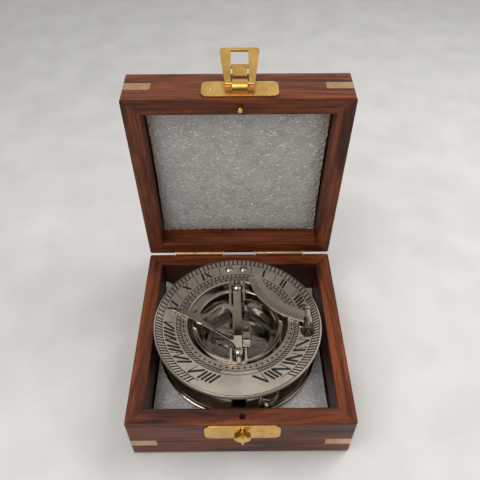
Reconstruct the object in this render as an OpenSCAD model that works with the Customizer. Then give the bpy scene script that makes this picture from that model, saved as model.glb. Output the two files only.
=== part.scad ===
// Folding sundial compass in its wooden box, with the lid open and the dial folded flat.
// Origin: the middle of the box's underside. +X is to the right, +Y is towards the hinges, +Z is up.
// All sizes are in millimetres.

/* [Dial] */
// Outer diameter of the hour ring
dial_d = 104; // [100:1:110]
// Diameter of the hole in the hour ring
hole_d = 62.2; // [60:0.2:66]
// Thickness of the hour ring
dial_t = 2; // [1.6:0.1:3]
// Bevel round the outer edge of the hour ring
dial_bevel = 0.8; // [0.4:0.1:1.2]
// Width of the slot that the latitude arc's bracket stands in
slot_w = 8.6; // [7.6:0.2:9.6]
// Length of that slot
slot_len = 25; // [22:0.5:28]
// How far the dial's hinge pin lies inside the ring's edge
hinge_inset = 5.8; // [5.4:0.1:7]
// Radius of the dial hinge's knuckles
knuckle_r = 2; // [1.6:0.1:2.4]
// Width of the dial's hinge
dial_hinge_w = 18; // [16:0.5:22]

/* [Gnomon] */
// Width of the bar that the gnomon turns on
bar_w = 4.9; // [4.3:0.1:6]
// Thickness of the bar
bar_t = 2.2; // [1.8:0.1:2.8]
// Thickness of the gnomon's plate
gnomon_t = 1.8; // [1.2:0.1:2.4]
// Radius of the ball at each end of the bar
ball_r = 3.4; // [2.8:0.1:3.6]
// Distance from the bar's middle line to the gnomon's tip
gnomon_reach = 40.9; // [38:0.1:44]
// How far the lifting lobe stands out on the bar's other side
lobe_reach = 7.6; // [6:0.1:7.7]
// Diameter of the gnomon's pivot pins
pivot_d = 2; // [1.6:0.1:2.4]

/* [Latitude arc] */
// Outer radius of the latitude arc
arc_r = 44; // [42:0.5:46]
// Width of the arc's plate
arc_w = 8.7; // [7:0.1:9.5]
// Thickness of the arc's plate
arc_t = 1.2; // [0.8:0.1:1.6]
// Diameter of the arc's hinge pin
arc_pin_d = 1.6; // [1.2:0.1:2]

/* [Compass] */
// Gap between the bezel and the edge of the ring's hole
bezel_gap = 2.9; // [2.4:0.1:3.6]
// Wall of the bezel
bezel_t = 3.6; // [3.2:0.1:4.2]
// Height of the compass above the base plate, bezel and all
bowl_h = 20.4; // [19.4:0.2:23]
// Wall of the compass bowl
bowl_t = 1.6; // [1.2:0.1:2]
// Thickness of the domed glass
glass_t = 1; // [0.8:0.1:1.2]
// Rise of the domed glass
glass_rise = 2; // [1.2:0.1:2]
// Length of the needle
needle_len = 38; // [32:0.5:40]
// Width of the needle at its middle
needle_w = 5.4; // [4.6:0.2:7]
// Bearing of the needle's tip in the photographed pose, from +X
needle_bearing = -16; // [-90:1:90]

/* [Base plate] */
// Thickness of the base plate
plate_t = 2.6; // [2:0.1:3.4]
// How far the base plate stays inside the ring's edge
plate_inset = 1.6; // [1:0.1:2]
// Room under the base plate for the screws' feet
foot_h = 4.6; // [4:0.1:6]
// Diameter of the levelling screws
screw_d = 4; // [3:0.1:4.4]
// Diameter of the levelling screws' milled heads
head_d = 12; // [10:0.5:12.4]
// Bearing of the levelling screw by the front, from +X
screw_bearing = -67; // [-72:1:-62]

/* [Box] */
// Room between the hour ring and the inside of the box
box_gap = 1.9; // [1.6:0.1:4]
// Thickness of the box's walls
wall_t = 9.6; // [8.6:0.2:12]
// How far the dial's face stands above the rim of the box
dial_rise = 6.5; // [4:0.5:8]
// Thickness of the floor
floor_t = 5; // [3.5:0.5:8]
// Thickness of the lid's panel
panel_t = 6.2; // [4:0.2:8]
// Rounding of the box's long edges
edge_r = 2.6; // [1:0.2:4]
// Rounding of the box's upright corners
corner_r = 1.4; // [0.6:0.2:3]
// Depth of the rebate that holds the floor and the panel
rebate = 4; // [3:0.5:5]
// Angle that the lid stands open at
lid_open = 86; // [80:0.5:90]

/* [Padding] */
// Thickness of the foam on the floor
base_pad_t = 7.1; // [5:0.1:10]
// Thickness of the foam in the lid
lid_pad_t = 9.3; // [6:0.1:12]
// How far the foam's edges fall away
pad_drop = 1.6; // [0.6:0.1:2.2]
// How far the foam's sides draw in between its corners
pad_pinch = 0.8; // [0.2:0.1:2]

/* [Brass] */
// Length of each box hinge
hinge_len = 34; // [28:1:40]
// Distance between the middles of the two hinges
hinge_pitch = 57; // [50:1:60]
// Radius of the box hinges' barrels
barrel_r = 1.8; // [1.6:0.1:2.2]
// Thickness of the hinge leaves
leaf_t = 0.9; // [0.7:0.1:1.1]
// Height of each hinge leaf
leaf_h = 12; // [9:0.5:14]
// Length of the clasp's plates
clasp_len = 42; // [36:1:50]
// Height of the clasp's plates
clasp_h = 14; // [12:0.5:15]
// Thickness of the clasp's plates
clasp_t = 0.9; // [0.6:0.1:1.2]
// Length of the swinging loop, from its pivot
loop_len = 24.8; // [24:0.1:25.4]
// Thickness of the swinging loop
loop_t = 1.1; // [0.8:0.1:1.4]
// Angle that the loop has swung up by, from its closed place
loop_angle = 162; // [150:1:168]
// Width of the strap that holds the loop
strap_w = 8.3; // [7:0.1:8.6]
// Length that a corner key shows on each face
key_leg = 15.4; // [10:0.2:16]
// Height of the corner keys
key_h = 6.3; // [3:0.1:7]
// Diameter of the locating pin in the lid's rim
peg_d = 3; // [2.4:0.2:4]

/* [Fits] */
// Running clearance round pins and shafts
fit = 0.05; // [0.03:0.01:0.08]
// Gap between metal pieces that pass each other
pass_gap = 0.4; // [0.3:0.05:0.6]
// Clearance round pins that are driven in and stay put
press = 0.01; // [0.01:0.01:0.03]
// Gap between the foam and what lies next to it
soft_gap = 0.3; // [0.2:0.05:0.5]
// Gap between the lid and the box when they are closed
seam = 0.3; // [0.2:0.05:0.5]

/* [Hidden] */
$fn = 48;
eps = 0.01;

// Finishes
wood = "saddlebrown";
brass = "goldenrod";
nickel = "silver";
foam = "lightsteelblue";

// Plan of the dial
dial_r = dial_d / 2;
hole_r = hole_d / 2;
band_mid = (dial_r + hole_r) / 2;
inst_x = -1.5;
inst_y = 0.8;
inst_turn = 0.8;

// Heights of the dial, from the box's underside
z_pad = floor_t + soft_gap;
z_feet = z_pad + base_pad_t + soft_gap;
z_plate = z_feet + foot_h;
z_deck = z_plate + plate_t;
z_bezel = z_deck + bowl_h;
dial_gap = 0.7;
z_dial = z_bezel + dial_gap;
z_face = z_dial + dial_t;

// Gnomon: its pivot line lies along Y over the ring's middle line
ball_inset = 6.8;
ball_y = hole_r - ball_inset;
z_gnomon = z_face + pass_gap + gnomon_t / 2;
collar_r = 1.7;
web_t = 2.4;
lug_wall = 1.3;
rear_arm = 17.5;
front_arm = 9.4;
boss_wall = 1;
lug_half = ball_r + pass_gap + lug_wall;
lug_foot_t = 1.2;
z_lug_top = z_gnomon + 1.9;
z_top = z_gnomon + ball_r;

// Latitude arc: its pivot line runs along Y through the slot
slot_x = band_mid + 0.9;
slot_y = -0.6;
arc_x = slot_x + 1.4;
arc_lead = 7.5;
arc_cx = arc_x + arc_lead;
arc_front_y = slot_y - 2.6;
arc_cy = arc_front_y + sqrt(arc_r * arc_r - arc_lead * arc_lead);
arc_far_angle = 188;
arc_near_angle = 180 + acos(arc_lead / arc_r);
z_arc = z_face + pass_gap + arc_t / 2;
arc_knuckle_r = arc_pin_d / 2 + 1.1;
ear_r = arc_knuckle_r + 0.5;
ear_t = 1.6;
front_ear_t = 4.9;
front_ear_y = arc_front_y - 1.4;
arc_knuckle_y = front_ear_y + front_ear_t + pass_gap;
arc_knuckle_len = 5.1;
rear_ear_y = arc_knuckle_y + arc_knuckle_len + pass_gap;
bracket_foot_t = 1.2;
bracket_foot_w = slot_w + 5;

// Dial hinge
dial_leaf_t = 1;
hinge_shares = [0.39, 0.55];
dial_hinge_y = dial_r - hinge_inset;
hinge_room = dial_hinge_y - knuckle_r - soft_gap - hole_r;
lug_foot_len = hinge_shares[0] * hinge_room;
dial_leaf_len = hinge_shares[1] * hinge_room;
z_dial_hinge = z_dial - knuckle_r - soft_gap;
dial_hinge_pin_d = 2;
dial_knuckle_w = dial_hinge_w / 2;
hinge_post_t = 2.6;
hinge_foot_len = 8;
dial_screw_x = 4.9;
dial_screw_y = dial_hinge_y - knuckle_r - 1.4;
dial_screw_d = 2.2;
dial_screw_head_r = 2.8;
dial_screw_head_h = 1.4;

// Compass
bezel_r = hole_r - bezel_gap;
skirt_t = 1.1;
bowl_r = bezel_r - skirt_t - fit;
bowl_floor_t = 2;
bezel_h = 7;
z_glass = z_bezel - bezel_h;
ledge_w = 1.6;
gasket_t = 0.4;
glass_r = bowl_r - bowl_t - 0.1;
glass_rim = 1;
card_r = glass_r - ledge_w;
card_t = 0.8;
card_lift = 3;
z_card = z_deck + bowl_floor_t;
degree_ring_w = 4.6;
degree_ring_h = 4.6;
z_degree = z_card + card_t + degree_ring_h;
needle_t = 0.5;
needle_clear = 0.8;
z_needle = z_degree + needle_clear;
cap_r = 2.3;
cap_h = 3;
pivot_r = 1.1;

// Base plate and levelling screws
plate_r = dial_r - plate_inset;
plate_lip = 2.4;
lip_t = 1;
screw_ring_r = plate_r - head_d / 2 - 0.2;
boss_r = screw_d / 2 + 2;
boss_h = 2;
head_h = 3.6;
head_lift = 5;
head_flutes = 24;
flute_r = 0.45;
foot_r = foot_h / 2 - 0.15;

// Box
box_in = dial_d + 2 * box_gap;
box_s = box_in + 2 * wall_t;
half = box_s / 2;
base_h = z_face - dial_rise;
z_lid = base_h + seam;
z_lid_pad = z_top + soft_gap;
z_panel = z_lid_pad + lid_pad_t + soft_gap;
lid_h = z_panel + panel_t - z_lid;

// Box hinges: the pin's line lies behind the rear face
pin_y = half + leaf_t;
pin_z = base_h + seam / 2;
box_pin_d = 1.6;
knuckles = 5;
knuckle_gap = 0.3;
leaf_clear = 0.3;
hinge_screw_r = 0.7;
hinge_screw_len = 7;
hinge_screw_head_r = 1.5;
hinge_screw_head_h = 0.5;

// Clasp: x is measured from the middle of the front
clasp_x = 0.8;
nail_pitch = 31.6;
nail_r = 0.7;
nail_len = 6;
nail_head_r = 1.2;
nail_head_h = 0.4;
catch_z = 29;
front_y = -half - clasp_t;
knob_r = 4.5;
knob_neck = 2.6;
plate_over_seam = 1.9;
clasp_z = z_lid + plate_over_seam + clasp_h / 2;
strap_r = 5;
strap_t = 1;
loop_wire_r = 1.2;
loop_rise = strap_r - strap_t - loop_wire_r - 0.2;
loop_y = -half - clasp_t - loop_rise;
loop_near_half = 8;
loop_far_half = 11;
window_half = strap_w / 2 + 0.75;
window_len = 2 * knob_r + 0.6;
loop_bar = 2;
loop_corner_r = 2;
loop_slit = 0.9;
knob_z = clasp_z - loop_len + loop_bar + window_len / 2;

// Keys and peg
base_key_z = 14.5;
lid_key_z = z_lid + 13;
peg_y = -half + wall_t / 2;
peg_len = 4;
peg_deep = 6;

// Points along an arc, from angle a to angle b
function arc_points(cx, cy, r, a, b, n) = [for (i = [0:n]) [cx + r * cos(a + (b - a) * i / n),
                                                          cy + r * sin(a + (b - a) * i / n)]];

// Points along a cubic curve, leaving out its first point
function curve(p, q, r, s, n) = [for (i = [1:n]) let (t = i / n, u = 1 - t)
    u * u * u * p + 3 * u * u * t * q + 3 * u * t * t * r + t * t * t * s];

// Moves a piece of the dial to its place in the box
module in_box() {
    translate([inst_x, inst_y, 0]) rotate([0, 0, inst_turn]) children();
}

// Turns a piece of the lid from its closed place to its open one
module lid_opened() {
    translate([0, pin_y, pin_z]) rotate([-lid_open, 0, 0]) translate([0, -pin_y, -pin_z]) children();
}

// Stands a profile drawn in Y and Z up, and draws it out along X
module along_x(len) {
    translate([-len / 2, 0, 0]) rotate([90, 0, 90]) linear_extrude(len) children();
}

// A round rod along Y from y0 to y1
module rod_y(r, y0, y1) {
    translate([0, y0, 0]) rotate([-90, 0, 0]) cylinder(r = r, h = y1 - y0);
}

// A round rod along X, centred
module rod_x(r, len) {
    rotate([0, 90, 0]) cylinder(r = r, h = len, center = true);
}

// Square with round corners, centred
module rounded_square(s, r) {
    square([s, s - 2 * r], center = true);
    square([s - 2 * r, s], center = true);
    for (x = [-1, 1], y = [-1, 1]) translate([x * (s / 2 - r), y * (s / 2 - r)]) circle(r);
}

// What a rounding of radius r takes off a corner at the origin
module edge_cutter(r) {
    difference() {
        translate([-1, -1]) square(r + 1);
        translate([r, r]) circle(r);
    }
}

// The front side of a mitred frame, with its outer edge at the bottom rounded and its rebate cut
module frame_side(h, panel) {
    difference() {
        intersection() {
            linear_extrude(h) polygon([[-half, -half], [half, -half], [half - wall_t, -half + wall_t],
                                       [-half + wall_t, -half + wall_t]]);
            linear_extrude(h) rounded_square(box_s, corner_r);
        }
        translate([0, -half, 0]) along_x(box_s + 2) edge_cutter(edge_r);
        translate([-half, -box_in / 2 - rebate, -eps]) cube([box_s, rebate + 1, panel + eps]);
        corner_keys(frame_key_z(h));
    }
}

// Height of the keys in a frame that is h tall, above the frame's rounded edge
function frame_key_z(h) = h == lid_h ? z_lid + lid_h - lid_key_z : base_key_z;

// One wedge-shaped key in each corner of a frame, at height z
module corner_keys(z) {
    intersection() {
        for (a = [0:90:270]) rotate([0, 0, a]) translate([-half, -half, z - key_h / 2])
            linear_extrude(key_h) polygon([[0, 0], [key_leg, 0], [0, key_leg]]);
        translate([0, 0, z - key_h]) linear_extrude(2 * key_h) rounded_square(box_s, corner_r);
    }
}

// Turns a frame built from its rounded edge upwards into the lid's frame, rounded edge on top
module as_lid() {
    translate([0, 0, z_lid + lid_h]) mirror([0, 0, 1]) children();
}

// The board that lies in a frame's rebate
module board(t) {
    s = box_in + 2 * rebate;
    translate([-s / 2, -s / 2, 0]) cube([s, s, t]);
}

// A pad of foam: a crowned block with its sides drawn in between the corners.
// The grid's points go over the top, row by row, and then round the foot.
pad_n = 20;
pad_edge = 9;
function pad_fall(u) = pow(1 - min(1, u / pad_edge), 2);
function pad_half(v, s) = s - pad_pinch * (1 - pow(v / s, 2));
function pad_top(i, j, s, t) = let (x = s * (2 * i / pad_n - 1), y = s * (2 * j / pad_n - 1))
    [x * pad_half(y, s) / s, y * pad_half(x, s) / s,
     t - pad_drop * min(1, pad_fall(s - abs(x)) + pad_fall(s - abs(y)))];
function pad_round(k) = k < pad_n ? [k, 0] : k < 2 * pad_n ? [pad_n, k - pad_n]
    : k < 3 * pad_n ? [3 * pad_n - k, pad_n] : [0, 4 * pad_n - k];
module pad(s, t) {
    row = pad_n + 1;
    tops = row * row;
    rim = 4 * pad_n;
    points = concat(
        [for (j = [0:pad_n], i = [0:pad_n]) pad_top(i, j, s, t)],
        [for (k = [0:rim - 1]) let (q = pad_round(k), p = pad_top(q[0], q[1], s, t)) [p[0], p[1], 0]],
        [[0, 0, 0]]);
    faces = concat(
        [for (j = [0:pad_n - 1], i = [0:pad_n - 1]) [j * row + i, (j + 1) * row + i, j * row + i + 1]],
        [for (j = [0:pad_n - 1], i = [0:pad_n - 1]) [j * row + i + 1, (j + 1) * row + i, (j + 1) * row + i + 1]],
        [for (k = [0:rim - 1]) let (q = pad_round(k), r = pad_round((k + 1) % rim))
            [q[1] * row + q[0], r[1] * row + r[0], tops + k]],
        [for (k = [0:rim - 1]) let (r = pad_round((k + 1) % rim))
            [r[1] * row + r[0], tops + (k + 1) % rim, tops + k]],
        [for (k = [0:rim - 1]) [tops + k, tops + (k + 1) % rim, tops + rim]]);
    polyhedron(points, faces);
}

// The walls of the box, all cut from one moulding
module base_front_wall() {
    color(wood) difference() {
        frame_side(base_h, floor_t);
        translate([clasp_x, peg_y, base_h - peg_deep]) cylinder(d = peg_d + 2 * soft_gap, h = peg_deep + 1);
        catch_nail_rods(nail_r + press);
        translate([clasp_x, 0, knob_z]) rod_y(knob_neck / 2 + press, -half - 1, -half + nail_len / 2);
    }
}

module base_rear_wall() {
    color(wood) difference() {
        rotate([0, 0, 180]) frame_side(base_h, floor_t);
        barrel_room();
        hinge_screw_rods(-1, hinge_screw_r + press);
    }
}

module base_left_wall() {
    color(wood) rotate([0, 0, -90]) frame_side(base_h, floor_t);
}

module base_right_wall() {
    color(wood) rotate([0, 0, 90]) frame_side(base_h, floor_t);
}

module base_floor() {
    color(wood) board(floor_t);
}

module base_pad() {
    color(foam) translate([0, 0, z_pad]) pad(box_in / 2 - soft_gap, base_pad_t);
}

module base_corner_keys() {
    color(brass) corner_keys(base_key_z);
}

// A plate with round ends on the front face, its middle at height z
module clasp_blank(z) {
    translate([clasp_x, -half, z]) rotate([90, 0, 0]) linear_extrude(clasp_t) {
        square([clasp_len - clasp_h / 2, clasp_h], center = true);
        square([clasp_len, clasp_h / 2], center = true);
        for (x = [-1, 1], y = [-1, 1])
            translate([x * (clasp_len / 2 - clasp_h / 4), y * clasp_h / 4]) circle(clasp_h / 4);
    }
}

module nail_rods(z, r) {
    for (x = [-1, 1]) translate([clasp_x + x * nail_pitch / 2, 0, z])
        rod_y(r, -half - clasp_t - eps, -half + nail_len);
}

module nails(z) {
    nail_rods(z, nail_r);
    for (x = [-1, 1]) translate([clasp_x + x * nail_pitch / 2, -half - clasp_t, z])
        rotate([90, 0, 0]) cylinder(r1 = nail_head_r, r2 = nail_head_r * 0.6, h = nail_head_h);
}

module catch_nail_rods(r) {
    nail_rods(catch_z - 2, r);
}

module catch_plate() {
    color(brass) difference() {
        clasp_blank(catch_z);
        catch_nail_rods(nail_r + press);
        translate([clasp_x, 0, knob_z]) rod_y(knob_neck / 2 + press, -half - 2, -half + 1);
    }
}

module catch_nails() {
    color(brass) nails(catch_z - 2);
}

// The knob that the loop drops over: a shell of three flutes that spread upwards, on a round disc
module catch_knob() {
    disc_r = 4.65;
    disc_t = 1.6;
    disc_drop = 3.4;
    flute_r = 2.1;
    flute_root_r = 0.5;
    flute_spread = 2.6;
    foot_ball_r = 0.9;
    flute_foot = [0, front_y - 4.1, knob_z - 2.8];
    core_r = 2.7;
    color(brass) translate([clasp_x, 0, 0]) {
        for (x = [-1:1]) {
            top = [x * flute_spread, front_y - flute_r - 0.35 - (1 - abs(x)) * 0.5, knob_z + 4];
            run = top - flute_foot;
            len = norm(run);
            translate(flute_foot) rotate([0, acos(run[2] / len), atan2(run[1], run[0])])
                cylinder(r1 = flute_root_r, r2 = flute_r, h = len);
        }
        translate(flute_foot) sphere(foot_ball_r);
        translate([0, 0, knob_z - disc_drop]) rod_y(disc_r, front_y - disc_t, front_y);
        translate([0, 0, knob_z]) {
            rod_y(core_r, front_y - 2.2, front_y);
            rod_y(knob_neck / 2, front_y - 1, -half + nail_len / 2 - 1);
        }
    }
}

// Box hinges. Local frame: the pin's line is X through the origin and the box is at -Y.
function knuckle_w() = hinge_len / knuckles;

module at_hinges() {
    for (x = [-1, 1]) translate([x * hinge_pitch / 2, pin_y, pin_z]) children();
}

module knuckle_row(first, up) {
    w = knuckle_w();
    for (k = [first:2:knuckles - 1]) translate([(k + 0.5) * w - hinge_len / 2, 0, 0]) {
        rod_x(barrel_r, w - knuckle_gap);
        translate([-(w - knuckle_gap) / 2, -leaf_t, up > 0 ? 0 : -barrel_r - leaf_clear])
            cube([w - knuckle_gap, leaf_t, barrel_r + leaf_clear]);
    }
}

module hinge_leaf(first, up) {
    plate_h = leaf_h - barrel_r - leaf_clear;
    difference() {
        union() {
            knuckle_row(first, up);
            translate([-hinge_len / 2, -leaf_t, up > 0 ? barrel_r + leaf_clear : -leaf_h])
                cube([hinge_len, leaf_t, plate_h]);
        }
        rod_x(box_pin_d / 2 + (up > 0 ? fit : press), hinge_len + 2);
    }
}

// Shafts of the screws in the leaves, on the box below the pin or on the lid above it
module hinge_screw_rods(up, r) {
    at_hinges() for (k = [-1:1]) translate([k * hinge_len / 3, 0, up * hinge_screw_z(k)])
        rod_y(r, -leaf_t - hinge_screw_len, eps);
}

function hinge_screw_z(k) = (barrel_r + leaf_h) / 2 + leaf_h * (k == 0 ? -0.13 : 0.1);

module hinge_screws(up) {
    hinge_screw_rods(up, hinge_screw_r);
    at_hinges() for (k = [-1:1]) translate([k * hinge_len / 3, 0, up * hinge_screw_z(k)])
        rotate([-90, 0, 0]) cylinder(r1 = hinge_screw_head_r, r2 = hinge_screw_head_r * 0.7, h = hinge_screw_head_h);
}

// Room for the barrels in the edges of the two rear walls
module barrel_room() {
    at_hinges() rod_x(barrel_r + leaf_clear, hinge_len + 2 * leaf_clear);
}

module box_hinge_lower_leaves() {
    color(brass) difference() {
        at_hinges() hinge_leaf(0, -1);
        hinge_screw_rods(-1, hinge_screw_r + press);
    }
}

module box_hinge_pins() {
    color(brass) at_hinges() rod_x(box_pin_d / 2, hinge_len);
}

module box_hinge_lower_screws() {
    color(brass) hinge_screws(-1);
}

// The lid, built closed and turned open
module lid_front_wall() {
    color(wood) lid_opened() difference() {
        as_lid() frame_side(lid_h, panel_t);
        clasp_nail_rods(nail_r + press);
        translate([clasp_x, peg_y, z_lid - 1]) cylinder(d = peg_d + 2 * fit, h = peg_deep + 1);
    }
}

module lid_rear_wall() {
    color(wood) lid_opened() difference() {
        as_lid() rotate([0, 0, 180]) frame_side(lid_h, panel_t);
        barrel_room();
        hinge_screw_rods(1, hinge_screw_r + press);
    }
}

module lid_left_wall() {
    color(wood) lid_opened() as_lid() rotate([0, 0, -90]) frame_side(lid_h, panel_t);
}

module lid_right_wall() {
    color(wood) lid_opened() as_lid() rotate([0, 0, 90]) frame_side(lid_h, panel_t);
}

module lid_panel() {
    color(wood) lid_opened() as_lid() board(panel_t);
}

module lid_pad() {
    color(foam) lid_opened() translate([0, 0, z_panel - soft_gap]) mirror([0, 0, 1])
        pad(box_in / 2 - soft_gap, lid_pad_t);
}

module lid_corner_keys() {
    color(brass) lid_opened() corner_keys(lid_key_z);
}

module clasp_nail_rods(r) {
    nail_rods(clasp_z, r);
}

// The lid's clasp plate, with the strap that holds the loop's wire
module clasp_plate() {
    color(brass) lid_opened() difference() {
        union() {
            clasp_blank(clasp_z);
            translate([clasp_x, -half - clasp_t, clasp_z]) along_x(strap_w) intersection() {
                difference() {
                    circle(strap_r);
                    circle(strap_r - strap_t);
                }
                translate([-strap_r, -strap_r]) square([strap_r + eps, 2 * strap_r]);
            }
        }
        clasp_nail_rods(nail_r + press);
    }
}

module clasp_nails() {
    color(brass) lid_opened() nails(clasp_z);
}

module locating_peg() {
    tip = 0.8;
    color(brass) lid_opened() translate([clasp_x, peg_y, z_lid - peg_len]) {
        translate([0, 0, tip]) cylinder(d = peg_d, h = peg_len + peg_deep - tip);
        cylinder(d1 = peg_d - tip, d2 = peg_d, h = tip);
    }
}

module box_hinge_upper_leaves() {
    color(brass) lid_opened() difference() {
        at_hinges() hinge_leaf(1, 1);
        hinge_screw_rods(1, hinge_screw_r + press);
    }
}

module box_hinge_upper_screws() {
    color(brass) lid_opened() hinge_screws(1);
}

// The swinging loop: a wire inside the strap, two arms that widen, a web between them, and a window.
// Its outline is drawn hanging down from the pivot, and then turned up to its resting angle.
module loop_outline() {
    far = -loop_len + loop_corner_r;
    web_top = -strap_r - pass_gap;
    web_low = -loop_len + loop_bar + window_len;
    difference() {
        union() {
            polygon([[-loop_near_half, loop_wire_r], [loop_near_half, loop_wire_r],
                     [loop_far_half, far], [-loop_far_half, far]]);
            for (x = [-1, 1]) translate([x * (loop_far_half - loop_corner_r), far]) circle(loop_corner_r);
            translate([-loop_far_half + loop_corner_r, -loop_len])
                square([2 * (loop_far_half - loop_corner_r), loop_corner_r + eps]);
        }
        translate([-window_half, -loop_len + loop_bar]) square([2 * window_half, window_len]);
        translate([-window_half, web_top]) square([2 * window_half, -web_top + 3]);
        for (x = [-1, 1]) translate([x * (window_half - loop_slit / 2) - loop_slit / 2, web_low + 2])
            square([loop_slit, web_top - web_low]);
    }
}

module clasp_loop() {
    color(brass) lid_opened() translate([clasp_x, loop_y, clasp_z]) rotate([-loop_angle, 0, 0]) {
        rotate([90, 0, 0]) linear_extrude(loop_t, center = true) loop_outline();
        rod_x(loop_wire_r, 2 * loop_near_half);
    }
}

// Base plate: a disc with a thin lip, three bosses for the levelling screws
module base_plate() {
    color(nickel) in_box() difference() {
        union() {
            translate([0, 0, z_plate]) rotate_extrude() polygon(concat(
                [[0, 0], [plate_r - lip_t / 2, 0]],
                arc_points(plate_r - lip_t / 2, lip_t / 2, lip_t / 2, -90, 90, 6),
                arc_points(plate_r, plate_t, plate_t - lip_t, 250, 180, 6),
                [[plate_r - plate_lip, plate_t], [0, plate_t]]));
            at_screws() translate([0, 0, z_deck - eps]) cylinder(r = boss_r, h = boss_h + eps);
        }
        at_screws() translate([0, 0, z_plate - 1]) cylinder(d = screw_d + 2 * fit, h = plate_t + boss_h + 2);
        bowl_screw_rods(bowl_screw_r + press);
        bowl_screw_heads(press);
    }
}

module at_screws() {
    for (k = [0:2]) rotate([0, 0, screw_bearing + 120 * k]) translate([screw_ring_r, 0, 0]) children();
}

// Three countersunk screws that hold the bowl from below
bowl_screw_r = 1.2;
bowl_screw_head = 2.2;
function bowl_screw_ring() = bowl_r * 0.62;

module bowl_screw_rods(r) {
    for (a = [30:120:270]) rotate([0, 0, a]) translate([bowl_screw_ring(), 0, z_plate])
        cylinder(r = r, h = plate_t + bowl_floor_t - 0.4);
}

module bowl_screw_heads(grow) {
    for (a = [30:120:270]) rotate([0, 0, a]) translate([bowl_screw_ring(), 0, z_plate - grow])
        cylinder(r1 = bowl_screw_head + grow, r2 = bowl_screw_r + grow, h = bowl_screw_head - bowl_screw_r + grow);
}

module bowl_screws() {
    color(nickel) in_box() {
        bowl_screw_rods(bowl_screw_r);
        bowl_screw_heads(0);
    }
}

// Bowl: a cup with a spread foot, a ledge for the glass and a bead round its wall
module compass_bowl() {
    foot_w = 1.8;
    foot_t = 1.4;
    bead_r = 0.8;
    wall_in = bowl_r - bowl_t;
    ledge = glass_r - ledge_w;
    ledge_z = z_glass - z_deck - gasket_t;
    rim_z = z_glass - z_deck + glass_rim - fit;
    color(nickel) in_box() difference() {
        translate([0, 0, z_deck]) rotate_extrude() polygon(concat(
            [[0, 0], [bowl_r + foot_w, 0], [bowl_r + foot_w, foot_t * 0.6]],
            arc_points(bowl_r + foot_w, foot_t * 0.6 + foot_w, foot_w, 265, 180, 6),
            arc_points(bowl_r, bowl_h * 0.42, bead_r, -80, 80, 6),
            [[bowl_r, rim_z], [wall_in, rim_z], [wall_in, ledge_z], [ledge, ledge_z],
             [ledge, ledge_z - 1], [wall_in, ledge_z - 1 - ledge_w],
             [wall_in, bowl_floor_t], [0, bowl_floor_t]]));
        bowl_screw_rods(bowl_screw_r + press);
    }
}

// Card in the bottom of the bowl, a shallow disc
module compass_card() {
    color("ivory") in_box() translate([0, 0, z_card]) difference() {
        cylinder(r = bowl_r - bowl_t - fit, h = card_t);
        translate([0, 0, -1]) cylinder(r = pivot_r + press, h = card_t + 2);
    }
}

// Raised ring round the card that carries the degrees, sloping in towards the card
module degree_ring() {
    out = bowl_r - bowl_t - fit;
    color("darkkhaki") in_box() translate([0, 0, z_card + card_t]) rotate_extrude()
        polygon([[out - degree_ring_w - 1, 0], [out, 0], [out, degree_ring_h],
                 [out - 0.6, degree_ring_h], [out - degree_ring_w, degree_ring_h - 1.6]]);
}

module needle_pivot() {
    point = 2.2;
    top = z_needle + needle_t + cap_h * 0.4 - z_card;
    color("darkgoldenrod") in_box() translate([0, 0, z_card]) {
        cylinder(r = pivot_r, h = top - point);
        translate([0, 0, top - point]) cylinder(r1 = pivot_r, r2 = 0.15, h = point);
        translate([0, 0, card_t]) cylinder(r1 = 2.4, r2 = pivot_r, h = 1.6);
    }
}

module glass_gasket() {
    color("dimgray") in_box() translate([0, 0, z_glass - gasket_t]) difference() {
        cylinder(r = glass_r, h = gasket_t);
        translate([0, 0, -1]) cylinder(r = glass_r - ledge_w, h = gasket_t + 2);
    }
}

// Domed glass: two shallow caps, one inside the other, over a flat rim
function cap_radius(r, h) = (r * r + h * h) / (2 * h);
function cap_points(r, h, z, n) = let (s = cap_radius(r, h), a = asin(r / s))
    [for (i = [0:n]) [s * sin(a * (1 - i / n)), z + h - s + s * cos(a * (1 - i / n))]];
module compass_glass() {
    dome_r = glass_r - ledge_w;
    inner = cap_points(dome_r - glass_t, glass_rise, 0, 12);
    color("lightcyan", 0.4) in_box() translate([0, 0, z_glass]) rotate_extrude() polygon(concat(
        [[glass_r, 0], [glass_r, glass_rim]],
        cap_points(dome_r, glass_rise, glass_rim, 12),
        [for (i = [12:-1:0]) inner[i]]));
}

// Bezel: a ring with a skirt over the bowl's wall and a long bright slope down to the glass
module bezel() {
    inner_low = glass_r - ledge_w + 0.4;
    skirt_h = 3;
    low = glass_rim;
    bevel = 0.5;
    color(nickel) in_box() translate([0, 0, z_glass]) rotate_extrude() polygon(concat(
        [[inner_low, low], [bezel_r - skirt_t, low], [bezel_r - skirt_t, low - skirt_h],
         [bezel_r, low - skirt_h], [bezel_r, bezel_h - bevel], [bezel_r - bevel, bezel_h]],
        arc_points(bezel_r - bezel_t + 1.6, bezel_h - 1, 1, 90, 150, 5),
        [[inner_low, low + 0.8]]));
}

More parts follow.
